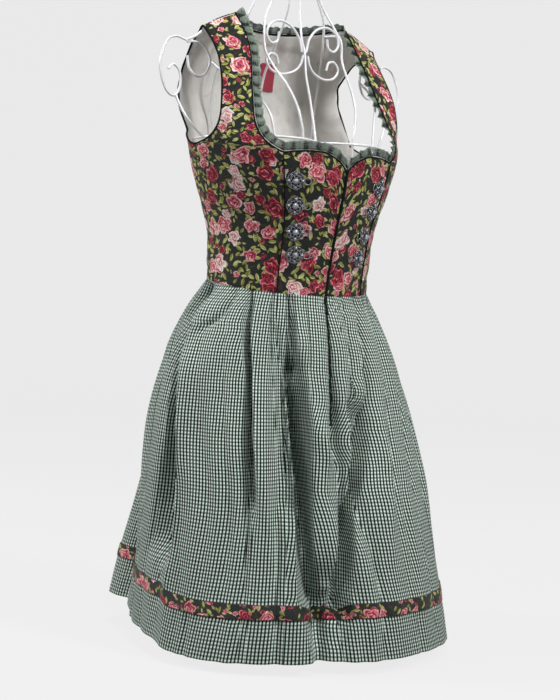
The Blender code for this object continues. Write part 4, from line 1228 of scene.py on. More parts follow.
def make_bodice():
    """The seven panels and the three linings that show."""
    trim = slice(GHOST, -GHOST)
    for side, mirror in (("left", 1), ("right", -1)):
        front, side_front, side_back = [(grid * (mirror, 1, 1))[:, trim][:, ::mirror]
                                        for grid in (FRONT, SIDE_FRONT, SIDE_BACK)]
        shift = 0.21 * mirror
        bodice_panel(f"bodice_front_{side}", front, 46, 26, 11, (shift, 0.02), "lining")
        bodice_panel(f"bodice_side_front_{side}", side_front, 110, 40, 12,
                     (2.3 * shift, 0.13), "lining")
        bodice_panel(f"bodice_side_back_{side}", side_back, 46, 26, 13,
                     (3.7 * shift, 0.31), "rose")
        lay_lining(f"side_back_{side}", relief(fine(side_back, 40, 18), -LINING_DEPTH))
    back = BACK[:, trim]
    bodice_panel("bodice_back", back, 90, 90, 14, (0.87, 0.47), "rose")
    lining = fine(back, 80, 80)
    creases = ripples(lining * (1.8, 1.0, 0.45), 0.05, 5) * LINING_CREASES
    middle = ((LABEL_INNER_EDGE + LABEL_WIDTH / 2 + LABEL_SHIFT) - lining[..., 0]) / 0.030
    level = ((LABEL_BOTTOM + LABEL_TOP) / 2 - lining[..., 2]) / 0.036
    flat_at_label = 1 - np.exp(-middle ** 4 - level ** 4)
    hold = np.outer(eased(80, 0.08), eased(80, 0.08)) * flat_at_label
    lay_lining("back", relief(lining, -LINING_DEPTH - np.abs(creases) * hold))


def make_label():
    """The bare red label, straight sided, flat on the back lining."""
    back = back_half_rows(np.linspace(0, 0.5, 21))
    xs = np.linspace(0, LABEL_WIDTH, 4) + LABEL_INNER_EDGE + LABEL_SHIFT
    grid = []
    for height in np.linspace(LABEL_BOTTOM, LABEL_TOP, 4):
        level = np.array([[np.interp(height, line[:, 2], line[:, k]) for k in range(3)]
                          for line in np.swapaxes(back, 0, 1)])
        grid.append([(x, np.interp(x, level[:, 0], level[:, 1]), height) for x in xs])
    grid = fine(np.array(grid), 22, 16)
    inner = grid + normals_of(grid) * (CLOTH + LINING + 3 * SEAM_GAP)
    grid = inner[:, ::-1]
    height = -ripples(grid, 0.03, 8) * 0.0003 - LABEL_LIFT
    lay("label", relief(grid, height), LINING_SHELL, "red_label", [LOOKS["label"]] * 2,
        cloth_uv(grid), cut=grid)


def make_closure():
    """The strip over the front closure, with a raised fold down its middle."""
    edge = FRONT[:, GHOST] + STRIP_SHARE * (FRONT[:, GHOST + 1] - FRONT[:, GHOST])
    middle = FRONT[:, GHOST] * (0, 1, 1)
    grid = fine(np.stack([mirrored(edge), middle, edge], axis=1), 60, 11)
    grid[-1, :, 2] -= SEAM_GAP
    fold = np.exp(-(np.linspace(-1, 1, 11) / 0.35) ** 2)
    strip = relief(grid, SEAM_GAP + RIBBON + STRIP_FOLD * fold)
    lay("closure_strip", strip, RIBBON, "black_piping", [LOOKS["piping"]] * 2,
        cloth_uv(grid))


def make_piping():
    """Piping on the neckline, the armholes and the princess seams."""
    radius = PIPING_RADIUS + 1.2 * SEAM_GAP
    clear = 0.78 * radius
    points, normals, away = neck_ring(84)
    neck = fine_loop(points - normals * CLOTH / 2 + away * clear, 4)
    settle(rod("piping_neck_cord", neck, radius, LOOKS["piping"], ring=True),
           "black_piping", "piping_neck")
    points, normals = resampled(*armhole_path(), 32, True)
    normals = smoothed(normals, 2)
    armhole = fine_loop(points - normals * CLOTH / 2 + outward(points, normals) * clear, 5)
    seam, normals = FRONT[:, -1 - GHOST], normals_of(FRONT)[:, -1 - GHOST]
    princess = seam + normals * (PRINCESS_PIPING_RADIUS + 1.6 * SEAM_GAP)
    princess[-1] -= unit(princess[-1] - princess[-2]) * 2 * PIPING_RADIUS
    princess = spline(princess, 60)
    for side, mirror in (("left", 1), ("right", -1)):
        for place, path, thick, ring in (("armhole", armhole, radius, True),
                                         ("princess", princess, PRINCESS_PIPING_RADIUS, False)):
            node = f"piping_{place}_{side}"
            settle(rod(node + "_cord", path * (mirror, 1, 1), thick, LOOKS["piping"], ring),
                   "black_piping", node)


def make_ruffle():
    """Gathered lace with a scalloped edge, standing up from the neckline."""
    steps, rows = 14, 7
    count = RUFFLE_WAVES * steps
    points, normals, away = neck_ring(count)
    base = points - normals * CLOTH / 2 + away * (2 * PIPING_RADIUS + 2.9 * SEAM_GAP)
    chance = np.random.default_rng(21)
    place = np.arange(count) / steps
    uneven, slip = [np.interp(place, np.arange(RUFFLE_WAVES),
                              chance.uniform(low, high, RUFFLE_WAVES), period=RUFFLE_WAVES)
                    for low, high in ((0.7, 1.25), (-0.6, 0.6))]
    phase = 2 * pi * (np.arange(count) + 0.5) / steps + slip
    notch = np.exp(-(points[:, 0] / NOTCH_WIDTH) ** 2) * (points[:, 1] < 0)
    scallop = SCALLOP * np.sin(phase * SCALLOPS_A_WAVE / 2) ** 2
    height = RUFFLE_HEIGHT * (1 - 0.45 * notch) * (0.94 + 0.06 * uneven) - 0.0008 + scallop
    up = unit(smoothed(away, 8 * steps // RUFFLE_STEPS) + np.outer(0.9 * notch, (0, 0, 1)))
    across_lace = smoothed(normals, 6 * steps // RUFFLE_STEPS)
    tangents = along_ring(base)
    swing = (np.tanh(1.9 * np.sin(phase)) + 0.22 * np.sin(2 * phase + 1.1)
             + 0.24 * np.sin(3.62 * phase)) * 0.8 * RUFFLE_SWING * uneven
    grid = []
    for share in np.linspace(0, 1, rows):
        lean = -0.0014 * share * np.cos(phase * 0.37)
        slide = 0.0018 * share * np.sin(2 * phase + slip)
        row = base + up * (height * share)[:, None]
        row = row + across_lace * (swing * share ** 0.7 + lean)[:, None]
        grid.append(row + tangents * slide[:, None])
    grid = np.array(grid)
    uv = band_uv(np.linspace(0, RUFFLE_WAVES * RUFFLE_RUN, count + 1),
                 np.linspace(0, 1, rows) * RUFFLE_HEIGHT)
    piece = shell("ruffle_neck_lace", grid, LACE, None, [LOOKS["lace"]] * 2, ring=True,
                  lift=LACE / 2, corner_uv=uv)
    settle(piece, "green_lace", "ruffle_neck")


# ---------------------------------------------------------------- skirt
# Soft creases of the skirt, in millimetres. Each: height (a trough is negative), half
# width (or the half widths before and after), how far its right edge leans along the
# cloth, and the places it runs through: angle from the front in degrees, share of the
# length below the waist.
CREASES = [
    (-30, (22, 26), 0, [(-101, 0.05), (-97, 0.12), (-93, 0.2), (-90, 0.3)]),
    (-58, (36, 36), -6, [(-100, 0.07), (-96, 0.15), (-92, 0.26), (-89, 0.36), (-87, 0.44),
        (-86, 0.55), (-87, 0.7)]),
    (17, 13, 0, [(-80, 0.1), (-78, 0.18), (-75.5, 0.28), (-74.5, 0.4), (-75, 0.53), (-78, 0.68),
        (-81, 0.8)]),
    (6, 20, 0, [(-66, 0.13), (-70, 0.24), (-69, 0.34)]),
    (-9, 6, 0, [(-65, 0.035), (-69, 0.08), (-77, 0.145)]),
    (-30, 8.5, -2, [(-52, 0.08), (-50.3, 0.16), (-48.4, 0.23), (-47.5, 0.33), (-47.2, 0.45),
        (-46.6, 0.55)]),
    (11, 10, 0, [(-43, 0.3), (-42.5, 0.44), (-41.5, 0.56), (-39.5, 0.68)]),
    (-28, 8, -2, [(-34, 0.14), (-33.5, 0.22), (-33.6, 0.34), (-34.4, 0.46), (-35, 0.57)]),
    (4, 6, 0, [(-39, 0.22), (-39.5, 0.4), (-39.5, 0.52)]),
    (-60, 16, -2, [(-25.2, 0.23), (-25, 0.32), (-25.8, 0.42), (-26.6, 0.55), (-27.2, 0.68),
        (-26.8, 0.8)]),
    (-18, 6, 0, [(-25.5, 0.05), (-25, 0.2)]),
    (12, 9, 0, [(-19.5, 0.16), (-19.5, 0.28), (-16.5, 0.4), (-13, 0.52)]),
    (-60, (22, 17), -7, [(4.5, 0.36), (2.5, 0.43), (-2, 0.5), (-5.5, 0.57), (-8.6, 0.66),
        (-12, 0.74), (-14.5, 0.84)]),
    (8, 13, 0, [(13, 0.36), (11.5, 0.46), (9.5, 0.56), (6.5, 0.68)]),
    (-9, 5, 0, [(28, 0.04), (20.5, 0.1), (14.5, 0.19), (13, 0.28), (11.6, 0.38), (9, 0.48)]),
    (-40, (9, 46), 0, [(-25.5, 0.78), (-24.5, 0.88), (-23.5, 0.99)]),
    (-5, 11, 0, [(-55, 0.55), (-55, 0.74)]),
    (-6, 9, 0, [(20, 0.52), (18, 0.76)]),
    (6, 12, 0, [(31, 0.56), (27, 0.8)]),
    (-7, 8, 0, [(40, 0.05), (33, 0.22), (28, 0.4)]),
    (-6, 10, 0, [(48, 0.1), (46, 0.4), (43, 0.62)]),
    (5, 14, 0, [(58, 0.24), (52, 0.48), (50, 0.7)]),
    (-16, 12, 0, [(70, 0.06), (67, 0.24), (64, 0.46)]),
    (8, 13, 0, [(77, 0.18), (74, 0.42), (72, 0.7)]),
    (-13, 10, 0, [(92, 0.08), (88, 0.3), (84, 0.6)]),
    (8, 13, 0, [(104, 0.22), (98, 0.44), (97, 0.66)]),
    (-18, 12, 0, [(113, 0.05), (110, 0.28), (108, 0.52)]),
    (8, 12, 0, [(126, 0.14), (124, 0.36), (122, 0.58)]),
    (-14, 10, 0, [(138, 0.08), (138, 0.34), (137, 0.7)]),
    (8, 13, 0, [(151, 0.2), (152, 0.4), (152, 0.62)]),
    (-18, 12, 0, [(166, 0.05), (166, 0.26), (167, 0.5)]),
    (8, 13, 0, [(178, 0.18), (180, 0.42), (179, 0.68)]),
    (-14, 11, 0, [(-163, 0.06), (-163, 0.34), (-164, 0.62)]),
    (8, 13, 0, [(-150, 0.16), (-151, 0.38), (-151, 0.6)]),
    (-16, 11, 0, [(-139, 0.08), (-140, 0.26), (-141, 0.5)]),
    (8, 13, 0, [(-126, 0.22), (-124, 0.44), (-121, 0.7)]),
    (-8, 9, 0, [(-112, 0.04), (-116, 0.22), (-112, 0.46)]),
]
CREASE_END = 0.05          # share of the length over which a crease fades out
# Soft upright breaks below the ribbon: angle at the hem, half width and height in
# millimetres.
HEM_BREAKS = [
    (-68, 7, -4), (-52, 12, 2.5), (-37, 8, -3.4), (-22.5, 8, -8), (-6, 14, 3), (18, 9, -3.6),
    (44, 12, 2.2), (71, 9, -2.6), (101, 12, 2.4), (137, 10, -2.8), (170, 13, 2.4),
    (-154, 10, -2.8), (-118, 12, 2.2),
]
WAIST_GATHERS = 150        # small gathers round the waist seam
SKIRT_ROWS = 82
STRIPE_EASE = 20           # columns on each side over which the level stripes are eased
STRIPE_CALM = 0.65         # how much of their unevenness that takes away
STRIPE_STRETCH = 1.25      # most that the upright stripes close up above the hem
FRONT_FINE = 7             # steps between two columns of the solid, in front
BACK_FINE = 3              # and at the back
FRONT_REACH = (-122, 62)   # the skirt's front, in degrees at the hem
TROUGH = -12               # creases deeper than this (millimetres) take in cloth
PINCH = 0.55               # how far their edges close over them, in half widths
WIDE_SIDE = 4              # a trough with one side so much wider doesn't close
GATHER_HEIGHT = 0.00055
SWAY_HEIGHT = 0.0011       # of the skirt's broad unevenness
SKIRT_LIFT = 0.0003        # the shell lies this far inside the solid's outside
RIBBON_LIFT = 0.0016       # the ribbon's face, off the skirt
RIBBON_ROWS = 9


def column_steps():
    """Steps after each of the solid's columns, more of them over the skirt's front."""
    hem_angles = half_turn(pleat_columns()[1])
    front = (hem_angles > FRONT_REACH[0]) & (hem_angles < FRONT_REACH[1])
    return np.where(front, FRONT_FINE, BACK_FINE)


def skirt_surface():
    """The skirt's outside, hem first, its angles and its shares of the length."""
    columns = pleat_columns()
    dense = np.concatenate([place + np.arange(count) / count
                            for place, count in enumerate(column_steps())])
    whole = np.arange(len(columns[0]) + 1)
    waist_dense, hem_dense = [np.interp(dense, whole, np.append(angles, angles[0] + 360))
                              for angles in columns]
    shares = np.concatenate([np.linspace(0, 0.12, 18)[:-1],
                             np.linspace(0.12, 1, SKIRT_ROWS - 17)])
    levels = np.array(skirt_shares())
    coarse = np.array([skirt_row(share, *columns) for share in levels])
    each = FRONT_FINE * BACK_FINE
    around = fine_ring(coarse, each)[:, np.rint(dense * each).astype(int)]
    surface = through(around, np.interp(shares, levels, np.arange(len(levels))))
    ease = np.minimum(1.0, shares / LEAN_END)[:, None]
    angles = waist_dense + (hem_dense - waist_dense) * ease
    return surface[::-1], angles[::-1], shares[::-1]


def crease_line(places, down):
    """Angle of a crease at each level, and the level clipped to the crease's ends."""
    stops = np.array(places, float)
    line = spline(stops, 8 * len(stops))
    line = line[np.argsort(line[:, 1])]
    inside = np.clip(down, stops[0, 1], stops[-1, 1])
    return np.interp(inside, line[:, 1], line[:, 0]), inside


def hand_creases(angles, down, radius):
    """Height and lean of the creases that the table places."""
    height, slide = np.zeros((2, *angles.shape))
    for lift, width, lean, places in CREASES:
        centre, inside = crease_line(places, down)
        away = half_turn(angles - centre)
        before, after = np.broadcast_to(width, 2) * MM
        half = np.where(away < 0, before, after)
        apart = np.radians(away) * radius / half
        ends = np.exp(-((down - inside) / CREASE_END) ** 2)
        first, last = places[0][1], places[-1][1]
        run = np.clip((inside - first) / (last - first), 0.06, 0.94)
        swell = ends * (0.25 + 0.75 * np.sin(pi * run) ** 0.7)
        steep = lift < TROUGH and after < WIDE_SIDE * before
        height += MM * lift * swell * np.exp(-np.abs(apart) ** (2.8 if steep else 2.0))
        slide += MM * lean * swell * np.exp(-(apart - 1.05) ** 2)
        if steep:
            mouth = np.exp(-((np.abs(apart) - 1.5) / 0.45) ** 2) * -np.sign(apart)
            slide += PINCH * half * swell * mouth
    return height, slide


def crease_relief(surface, angles, shares):
    """Height and lean of the creases, the hem's breaks and the waist's gathers."""
    radius = np.linalg.norm(surface[..., :2], axis=-1)
    down = shares[:, None]
    height, slide = hand_creases(angles, down, radius)
    low = np.clip((down - 0.86) / 0.05, 0, 1)
    for place, width, lift in HEM_BREAKS:
        apart = np.radians(half_turn(angles - place)) * radius / (MM * width)
        height += MM * lift * low * np.exp(-apart ** 2)
    turn = np.radians(angles)
    gather = np.sin(turn * WAIST_GATHERS + 2.2 * np.sin(3 * turn) + 1.4 * np.sin(7 * turn))
    gather *= (0.6 + 0.4 * np.sin(11 * turn + 0.7)) * np.exp(-(down / 0.055) ** 2)
    height += GATHER_HEIGHT * gather * np.clip(down / 0.006, 0, 1)
    sway = ripples(surface * (1.0, 1.0, 0.45), 0.085, 31) * np.clip(down / 0.10, 0, 1)
    return height + SWAY_HEIGHT * sway, slide


def trough_slack(surface, outer, angles, shares):
    """Cloth taken in by each trough, at both corners of every step round the skirt.

    The stripes keep their place halfway between two troughs, so the cut that the taken
    cloth makes in them lies at a trough's lowest line, out of sight.
    """
    turned = surface.shape[1] // 2
    level, placed, folded = (np.roll(grid, turned, axis=1)
                             for grid in (angles, surface, outer))
    level[:, :turned] -= 360.0
    longer = (np.linalg.norm(np.roll(folded, -1, 1) - folded, axis=-1)
              - np.linalg.norm(np.roll(placed, -1, 1) - placed, axis=-1))
    taken = np.concatenate([np.zeros((len(longer), 1)), np.cumsum(longer, axis=1)], axis=1)
    slack = np.zeros((2, *level.shape))
    for row, share in enumerate(shares):
        lowest = level[row, 0]
        middles = np.array(sorted(
            (float(crease_line(places, share)[0]) - lowest) % 360.0 + lowest
            for lift, _, _, places in CREASES if lift < TROUGH))
        bounds = np.concatenate([[lowest], (middles[1:] + middles[:-1]) / 2,
                                 [lowest + 360.0]])
        stops = np.append(level[row], lowest + 360.0)
        step = (stops[1:] + stops[:-1]) / 2
        zone = np.searchsorted(bounds, step, side="right") - 1
        zone = np.clip(zone, 0, len(middles) - 1)
        still = np.interp(bounds[zone + (step > middles[zone])], stops, taken[row])
        slack[:, row] = taken[row, :-1] - still, taken[row, 1:] - still
    return np.roll(slack, -turned, axis=2)


# Where the stripes start afresh, hidden in a pleat: number of the pleat, and how far
# the stripes that follow it lean across the cloth (a share of the way up).
STRIPE_PANELS = [
    (0, 0), (1, 0), (2, -0.04), (3, -0.1), (6, -0.12), (10, -0.06), (11, -0.02), (12, 0),
    (14, 0.08), (16, 0.12), (18, 0.14), (20, 0.12), (22, 0.05), (23, 0), (24, 0), (25, 0),
    (26, 0), (27, 0),
]


def skirt_uv(surface, slack):
    """Cloth coordinates: stripes keep their spacing, and run on round the hem."""
    closed = closed_ring(surface)
    start = steps_along(closed, 1)
    full = start[:, -1:]
    spacing = np.clip(full[:1] / full, 1.0, STRIPE_STRETCH)
    up = steps_along(closed, 0)
    kernel = np.ones(2 * STRIPE_EASE + 1) / (2 * STRIPE_EASE + 1)
    smooth = np.array([np.convolve(
        np.concatenate([row[-STRIPE_EASE - 1:-1], row, row[1:STRIPE_EASE + 1]]), kernel,
        "valid") for row in up])
    up = (1 - STRIPE_CALM) * up + STRIPE_CALM * smooth + CHECK / 2
    corners = np.zeros((2, *surface.shape[:2], 2))
    starts = np.concatenate([[0], np.cumsum(column_steps())])
    bounds = [starts[4 * number] for number, _ in STRIPE_PANELS] + [starts[-1]]
    for (_, lean), first, last in zip(STRIPE_PANELS, bounds, bounds[1:]):
        middle = (first + last) // 2
        run = start[0, middle] + (start - start[:, middle:middle + 1]) * spacing + lean * up
        for side in (0, 1):
            corners[side, :, first:last] = np.stack([run, up], -1)[:, first + side:last + side]
    corners[..., 0] += slack
    return np.stack([corners[0], corners[1]], axis=2)


def make_skirt():
    """The skirt with its creases; gives the shell's outside."""
    surface, angles, shares = skirt_surface()
    crease, slide = crease_relief(surface, angles, shares)
    crease *= np.clip(shares[:, None] / 0.02, 0, 1)
    turn = np.radians(angles)
    outwards = np.stack([np.sin(turn), -np.cos(turn), 0 * turn], -1)
    along = np.stack([np.cos(turn), np.sin(turn), 0 * turn], -1)
    outer = surface + outwards * (crease - SKIRT_LIFT)[..., None] + along * slide[..., None]
    slack = trough_slack(surface, outer, angles, shares)
    piece = shell("skirt_cloth", outer, SKIRT_SHELL, None,
                  [LOOKS["gingham"], LOOKS["gingham_inside"]], ring=True,
                  corner_uv=skirt_uv(surface, slack))
    settle(piece, "gingham", "skirt")
    return outer


def make_ribbon(outer):
    """The floral ribbon sewn round the skirt above the hem."""
    levels = np.linspace(RIBBON_BOTTOM - RIBBON_EDGE, RIBBON_TOP + RIBBON_EDGE, RIBBON_ROWS)
    heights = steps_along(outer, 0)
    grid = np.swapaxes([[np.interp(levels, heights[:, column], outer[:, column, k])
                         for k in range(3)] for column in range(outer.shape[1])], 0, 2)
    grid = np.swapaxes(grid, 1, 2)
    crown = RIBBON_LIFT - 0.0003 * np.linspace(-1, 1, RIBBON_ROWS)[:, None] ** 2
    band = grid + normals_of(grid, True) * crown[..., None]
    run = steps_along(closed_ring(grid)[RIBBON_ROWS // 2][None], 1)[0]
    uv = band_uv(run, levels - (RIBBON_BOTTOM + RIBBON_TOP) / 2)
    piece = shell("skirt_ribbon_cloth", band, RIBBON_SHELL, None, [LOOKS["ribbon"]] * 2,
                  ring=True, corner_uv=uv)
    settle(piece, "rose_ribbon", "skirt_ribbon")


def make_placket():
    """The black strip down the pleat at the front of the skirt, a little wavy."""
    columns = pleat_columns()
    rows = np.array([skirt_row(share, *columns) for share in skirt_shares()])[::-1]
    grid = fine(placket_grid(rows[-PLACKET_ROWS:], 4 * CENTRE_PLEAT), 90, 7)
    run = steps_along(grid, 0)[:, 3] / PLACKET_WAVE
    wave = 0.0008 * np.sin(2 * pi * run) + 0.0005 * np.sin(2 * pi * run * 1.7 + 1)
    grid = grid + unit(grid[:, -1:] - grid[:, :1]) * wave[:, None, None]
    lay("skirt_placket", relief(grid, PLACKET_LIFT + 0.0006), RIBBON_SHELL, "black_piping",
        [LOOKS["piping"]] * 2, cloth_uv(grid))


# ---------------------------------------------------------------- brooches
SILVER, TARNISH_AND_SHADE, CRYSTAL = 0, 1, 2    # numbers of a brooch's looks
PLATE_SIDES = 32
# The plate, from its underside up: share of the brooch's radius, height.
BROOCH_DOME = [(0.60, 0.0003), (0.93, 0.0004), (0.95, 0.0012), (0.60, 0.0022), (0.20, 0.0030)]
# Wire rings: points, radius, height, radius of the wire.
BROOCH_RINGS = [
    (36, BROOCH_RADIUS * 0.955, 0.0010, 0.00048), (30, BROOCH_RADIUS * 0.60, 0.0026, 0.00036),
    (24, 0.0041, 0.0041, 0.00060),
]


def ring_of(count, radius, height=0.0):
    """Points round the upright axis."""
    turns = 2 * pi * np.arange(count) / count
    return np.stack([radius * np.cos(turns), radius * np.sin(turns),
                     np.full(count, height)], -1)


def add_ball(mesh, centre, radius, look, flat=1.0, segments=8, rings=6):
    """A smooth ball, flattened upright, in a bmesh."""
    matrix = Matrix.Translation(centre) @ Matrix.Diagonal((1, 1, flat, 1))
    before = len(mesh.faces)
    bmesh.ops.create_uvsphere(mesh, u_segments=segments, v_segments=rings, radius=radius,
                              matrix=matrix)
    mesh.faces.ensure_lookup_table()
    for face in mesh.faces[before:]:
        face.material_index = look
        face.smooth = True


def add_loop(mesh, points, radius, look, sides=6):
    """A closed wire loop in a bmesh."""
    rings = []
    for point, tangent in zip(points, along_ring(points)):
        side = unit(np.cross((0.0, 0.0, 1.0), tangent))
        over = np.cross(tangent, side)
        rings.append([mesh.verts.new(point + radius * (side * cos(t) + over * sin(t)))
                      for t in 2 * pi * np.arange(sides) / sides])
    for ring, after in zip(rings, rings[1:] + rings[:1]):
        for step in range(sides):
            more = (step + 1) % sides
            face = mesh.faces.new((ring[step], ring[more], after[more], after[step]))
            face.material_index = look
            face.smooth = True


def add_base(mesh):
    """The brooch's near-black domed plate: tarnish, and painted shade where it shows between
    the filigree.
    """
    rings = [[mesh.verts.new(place)
              for place in ring_of(PLATE_SIDES, BROOCH_RADIUS * share, height)]
             for share, height in BROOCH_DOME]
    for lower, upper in zip(rings, rings[1:]):
        for step in range(PLATE_SIDES):
            after = (step + 1) % PLATE_SIDES
            mesh.faces.new((lower[step], lower[after], upper[after], upper[step]))
    mesh.faces.new(rings[0][::-1])
    mesh.faces.new(rings[-1])
    for face in mesh.faces:
        face.material_index = TARNISH_AND_SHADE


def brooch_detail():
    """Filigree rosette: domed base, looped rim, beads, petals and set crystals."""
    made = bmesh.new()
    add_base(made)
    lobe = ring_of(14, 1.0) * (0.0036, 0.0031, 0.0)
    for step in range(BROOCH_LOBES):
        turn = 2 * pi * step / BROOCH_LOBES
        small = step % 2
        facing = np.array(Matrix.Rotation(turn, 3, "Z"))
        centre = np.array((BROOCH_RADIUS * (0.76 - 0.06 * small), 0.0, 0.0019))
        add_loop(made, (lobe * (1.0 - 0.25 * small) + centre) @ facing.T, 0.00045, SILVER)
        petal = lobe * (0.62, 0.80, 1.0) + (BROOCH_RADIUS * 0.44, 0.0, 0.0030)
        add_loop(made, petal @ facing.T, 0.00038, SILVER)
        add_ball(made, Vector(facing @ centre) + Vector((0, 0, 0.0005)),
                 0.0013 if small else 0.0021, SILVER if small else CRYSTAL, 0.75)
        between = np.array(Matrix.Rotation(turn + pi / BROOCH_LOBES, 3, "Z"))
        for share, height, radius in ((0.915, 0.0015, 0.00115), (0.55, 0.0032, 0.00090)):
            bead = between @ np.array((BROOCH_RADIUS * share, 0.0, height))
            add_ball(made, Vector(bead), radius, SILVER)
    for count, radius, height, wire in BROOCH_RINGS:
        add_loop(made, ring_of(count, radius, height), wire, SILVER)
    add_ball(made, Vector((0, 0, 0.0041)), 0.0034, CRYSTAL, 0.55, 12, 8)
    for place in ring_of(12, 0.0049, 0.0041):
        add_ball(made, Vector(place), 0.00060, SILVER, 1.0, 6, 5)
    eye = (BROOCH_RADIUS + EYE_RADIUS - 0.0006, 0.0, EYE_WIRE + 0.0002)
    add_loop(made, ring_of(24, EYE_RADIUS) + eye, EYE_WIRE * 0.9, SILVER, 8)
    return made


def brooch_place(mirror, angle, height, eye_angle):
    """Where a brooch lies on the front panel, its eye turned towards the closure."""
    place = on_body(mirror * angle, height)
    probe = on_body(mirror * angle + np.array([-1.0, 1.0]), height)
    upwards = on_body(mirror * angle, height + 0.01) - on_body(mirror * angle, height - 0.01)
    normal = Vector(unit(np.cross(probe[1] - probe[0], upwards)))
    along = Vector(on_body(mirror * eye_angle, height) - place)
    along = (along - normal * along.dot(normal)).normalized()
    facing = Matrix((along, normal.cross(along), normal)).transposed().to_4x4()
    facing.translation = Vector(place) + normal * (rise(place, normal) + SEAM_GAP)
    return facing


def make_brooches():
    """Four a side; the lowest one's eye holds a small hook."""
    hook = ring_of(16, 1.0) * (0.0024, 0.0032, 0.0)
    hook += (BROOCH_RADIUS + 2 * EYE_RADIUS + 0.0006, 0.0, EYE_WIRE + 0.0007)
    for side, mirror in (("left", 1), ("right", -1)):
        for number, row in enumerate(BROOCHES, start=1):
            name = f"brooch_{side}_{number}"
            made = brooch_detail()
            if number == len(BROOCHES):
                add_loop(made, hook, 0.0006, SILVER)
            mesh = bpy.data.meshes.new(name + "_silver")
            made.to_mesh(mesh)
            made.free()
            for look in ("silver", "patina_and_shade", "crystal"):
                mesh.materials.append(LOOKS[look])
            mesh.transform(brooch_place(mirror, *row))
            settle(link(name + "_silver", mesh), "old_silver", name)


# ---------------------------------------------------------------- wire form
TWIST = 2 * pi / 0.013     # turning of a twisted wire's section along its length
TWISTED_DENT = 0.22        # depth of its twist, as a share of its radius
TWISTED_GROWTH = 1.05      # it is this much thicker over its ridges


def form_wire(name, points, count, twist=0.0, ring=False):
    """One wire of the form through the points, twisted or plain."""
    path = spline(points, count)
    if ring:
        path = path[:-1]
    radius = WIRE_RADIUS * (TWISTED_GROWTH if twist else 1.0)
    piece = rod(name + "_wire", path, radius, LOOKS["paint"], ring=ring, sides=12,
                twist=twist, dent=TWISTED_DENT if twist else 0.0)
    settle(piece, "white_paint", name)


def form_pair(stem, points, count, twist=0.0):
    """The same wire on both sides."""
    form_wire(stem + "_left", points, count, twist)
    form_wire(stem + "_right", mirrored(points), count, -twist)


def make_form():
    """All the form's wires, and paint on the parts of its stand."""
    form_wire("form_centre_front", CENTRE_FRONT_WIRE, 320, TWIST)
    form_wire("form_centre_back", CENTRE_BACK_WIRE, 320, TWIST)
    form_pair("form_front", FRONT_WIRE, 320, TWIST)
    form_pair("form_back", BACK_WIRE, 320, TWIST)
    form_pair("form_side", SIDE_WIRE, 60)
    for name, half, count in (("form_chest_ring", CHEST_RING, 240),
                              ("form_waist_ring", WAIST_RING, 160)):
        loop = np.concatenate([half, mirrored(half)[-2::-1]])
        form_wire(name, loop, count + 1, ring=True)
    for stem, points, count in (
            ("form_upper_scroll", UPPER_SCROLL, 110), ("form_lower_scroll", LOWER_SCROLL, 110),
            ("form_shoulder", SHOULDER_WIRE, 60), ("form_shoulder_loop", SHOULDER_LOOP, 140),
            ("form_shoulder_curl", SHOULDER_CURL, 110),
            ("form_shoulder_brace", SHOULDER_BRACE, 30)):
        form_pair(stem, points, count)
    for name in ("form_base", "form_boss", "form_pole", "form_collar", "form_finial"):
        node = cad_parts[name]
        node.data.materials.clear()
        node.data.materials.append(LOOKS["paint"])


# ---------------------------------------------------------------- stage and light
def make_stage():
    """A pale round floor that curves up into a wall. It adds no light to the dress."""
    floor = Look("studio", roughness=0.95, specular=0.0)
    floor.colour(srgb(74, 74, 74))
    floor.shader.inputs["Emission Color"].default_value = (1.0, 1.0, 1.0, 1.0)
    floor.shader.inputs["Emission Strength"].default_value = FLOOR_GLOW
    turn = np.linspace(0, 2 * pi, STAGE_SIDES, endpoint=False)
    bend = [(STAGE_RADIUS - STAGE_BEND + STAGE_BEND * sin(t), STAGE_BEND - STAGE_BEND * cos(t))
            for t in np.linspace(0.1, pi / 2, 10)]
    profile = [(0.5, 0.0), (STAGE_RADIUS - STAGE_BEND, 0.0)] + bend
    profile += [(STAGE_RADIUS, STAGE_HEIGHT)]
    points = [(far * cos(t), far * sin(t), high) for far, high in profile for t in turn]
    faces = [tuple(range(STAGE_SIDES))]
    for row in range(len(profile) - 1):
        for step in range(STAGE_SIDES):
            after = (step + 1) % STAGE_SIDES
            low, high = row * STAGE_SIDES, (row + 1) * STAGE_SIDES
            faces.append((low + step, high + step, high + after, low + after))
    uvs = [(0.0, 0.0)] * sum(len(face) for face in faces)
    stage = build("studio_floor", points, faces, uvs, [floor.material])
    stage.visible_diffuse = False
    stage.visible_shadow = False


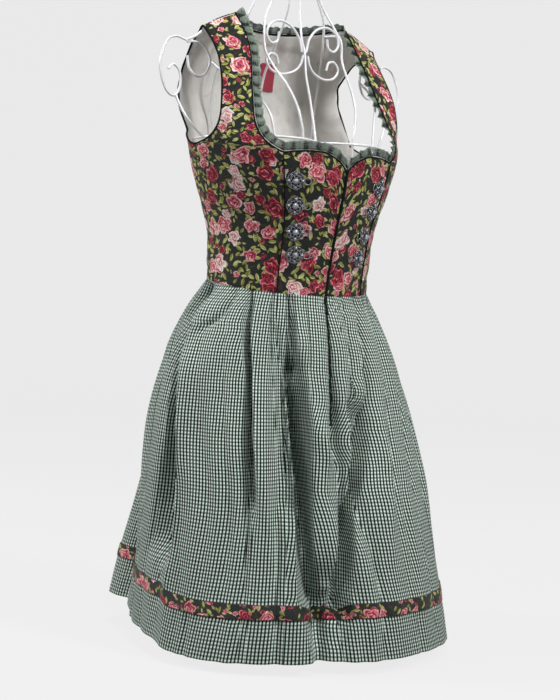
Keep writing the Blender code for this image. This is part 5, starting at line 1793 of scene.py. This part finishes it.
def area_light(name, where, towards, size, power):
    """A round lamp that faces a point."""
    data = bpy.data.lights.new(name, "AREA")
    data.shape = "DISK"
    data.size = size
    data.energy = power
    made = link(name, data)
    made.location = where
    made.rotation_euler = (Vector(towards) - Vector(where)).to_track_quat("-Z", "Y").to_euler()


def make_light():
    """Soft air light and the lamps: a key to the camera's right, fill, rim and top."""
    world = bpy.data.worlds.new("studio_air")
    world.use_nodes = True
    air = world.node_tree.nodes["Background"].inputs
    air["Color"].default_value = (0.97, 0.98, 1.0, 1.0)
    air["Strength"].default_value = AIR_LIGHT
    bpy.context.scene.world = world
    bpy.context.scene.view_settings.view_transform = "Standard"
    for name, off, far, high, size, level in LAMPS:
        turn = radians(VIEW_ANGLE + off)
        where = (far * sin(turn), -far * cos(turn), high)
        reach = far ** 2 + (high - LAMPS_AIM[2]) ** 2
        area_light(name, where, LAMPS_AIM, size, level * pi ** 2 * reach)


def make_camera():
    """A camera level with the waist, 2.4 m away, a little turned about its own axis."""
    turn, roll = radians(VIEW_ANGLE), radians(CAMERA_ROLL)
    forward = Vector((-sin(turn), cos(turn), 0.0))
    above = Vector((0, 0, 1))
    right = forward.cross(above)
    data = bpy.data.cameras.new("photo_camera")
    data.sensor_fit = "VERTICAL"
    data.sensor_height = SENSOR
    data.lens = CAMERA_FAR / METRES_A_PIXEL / IMAGE[1] * SENSOR
    data.shift_x = (IMAGE[0] / 2 - CENTRE_PIXEL[0]) / IMAGE[1]
    data.shift_y = (CENTRE_PIXEL[1] - IMAGE[1] / 2) / IMAGE[1]
    axes = Matrix((right * cos(roll) + above * sin(roll),
                   above * cos(roll) - right * sin(roll), -forward)).transposed().to_4x4()
    axes.translation = (CAMERA_FAR * sin(turn), -CAMERA_FAR * cos(turn), CAMERA_HIGH)
    camera = link("photo_camera", data)
    camera.matrix_world = axes
    bpy.context.scene.camera = camera


make_bodice()
make_label()
make_closure()
make_piping()
make_ruffle()
make_ribbon(make_skirt())
make_placket()
make_brooches()
make_form()
make_stage()
make_light()
make_camera()
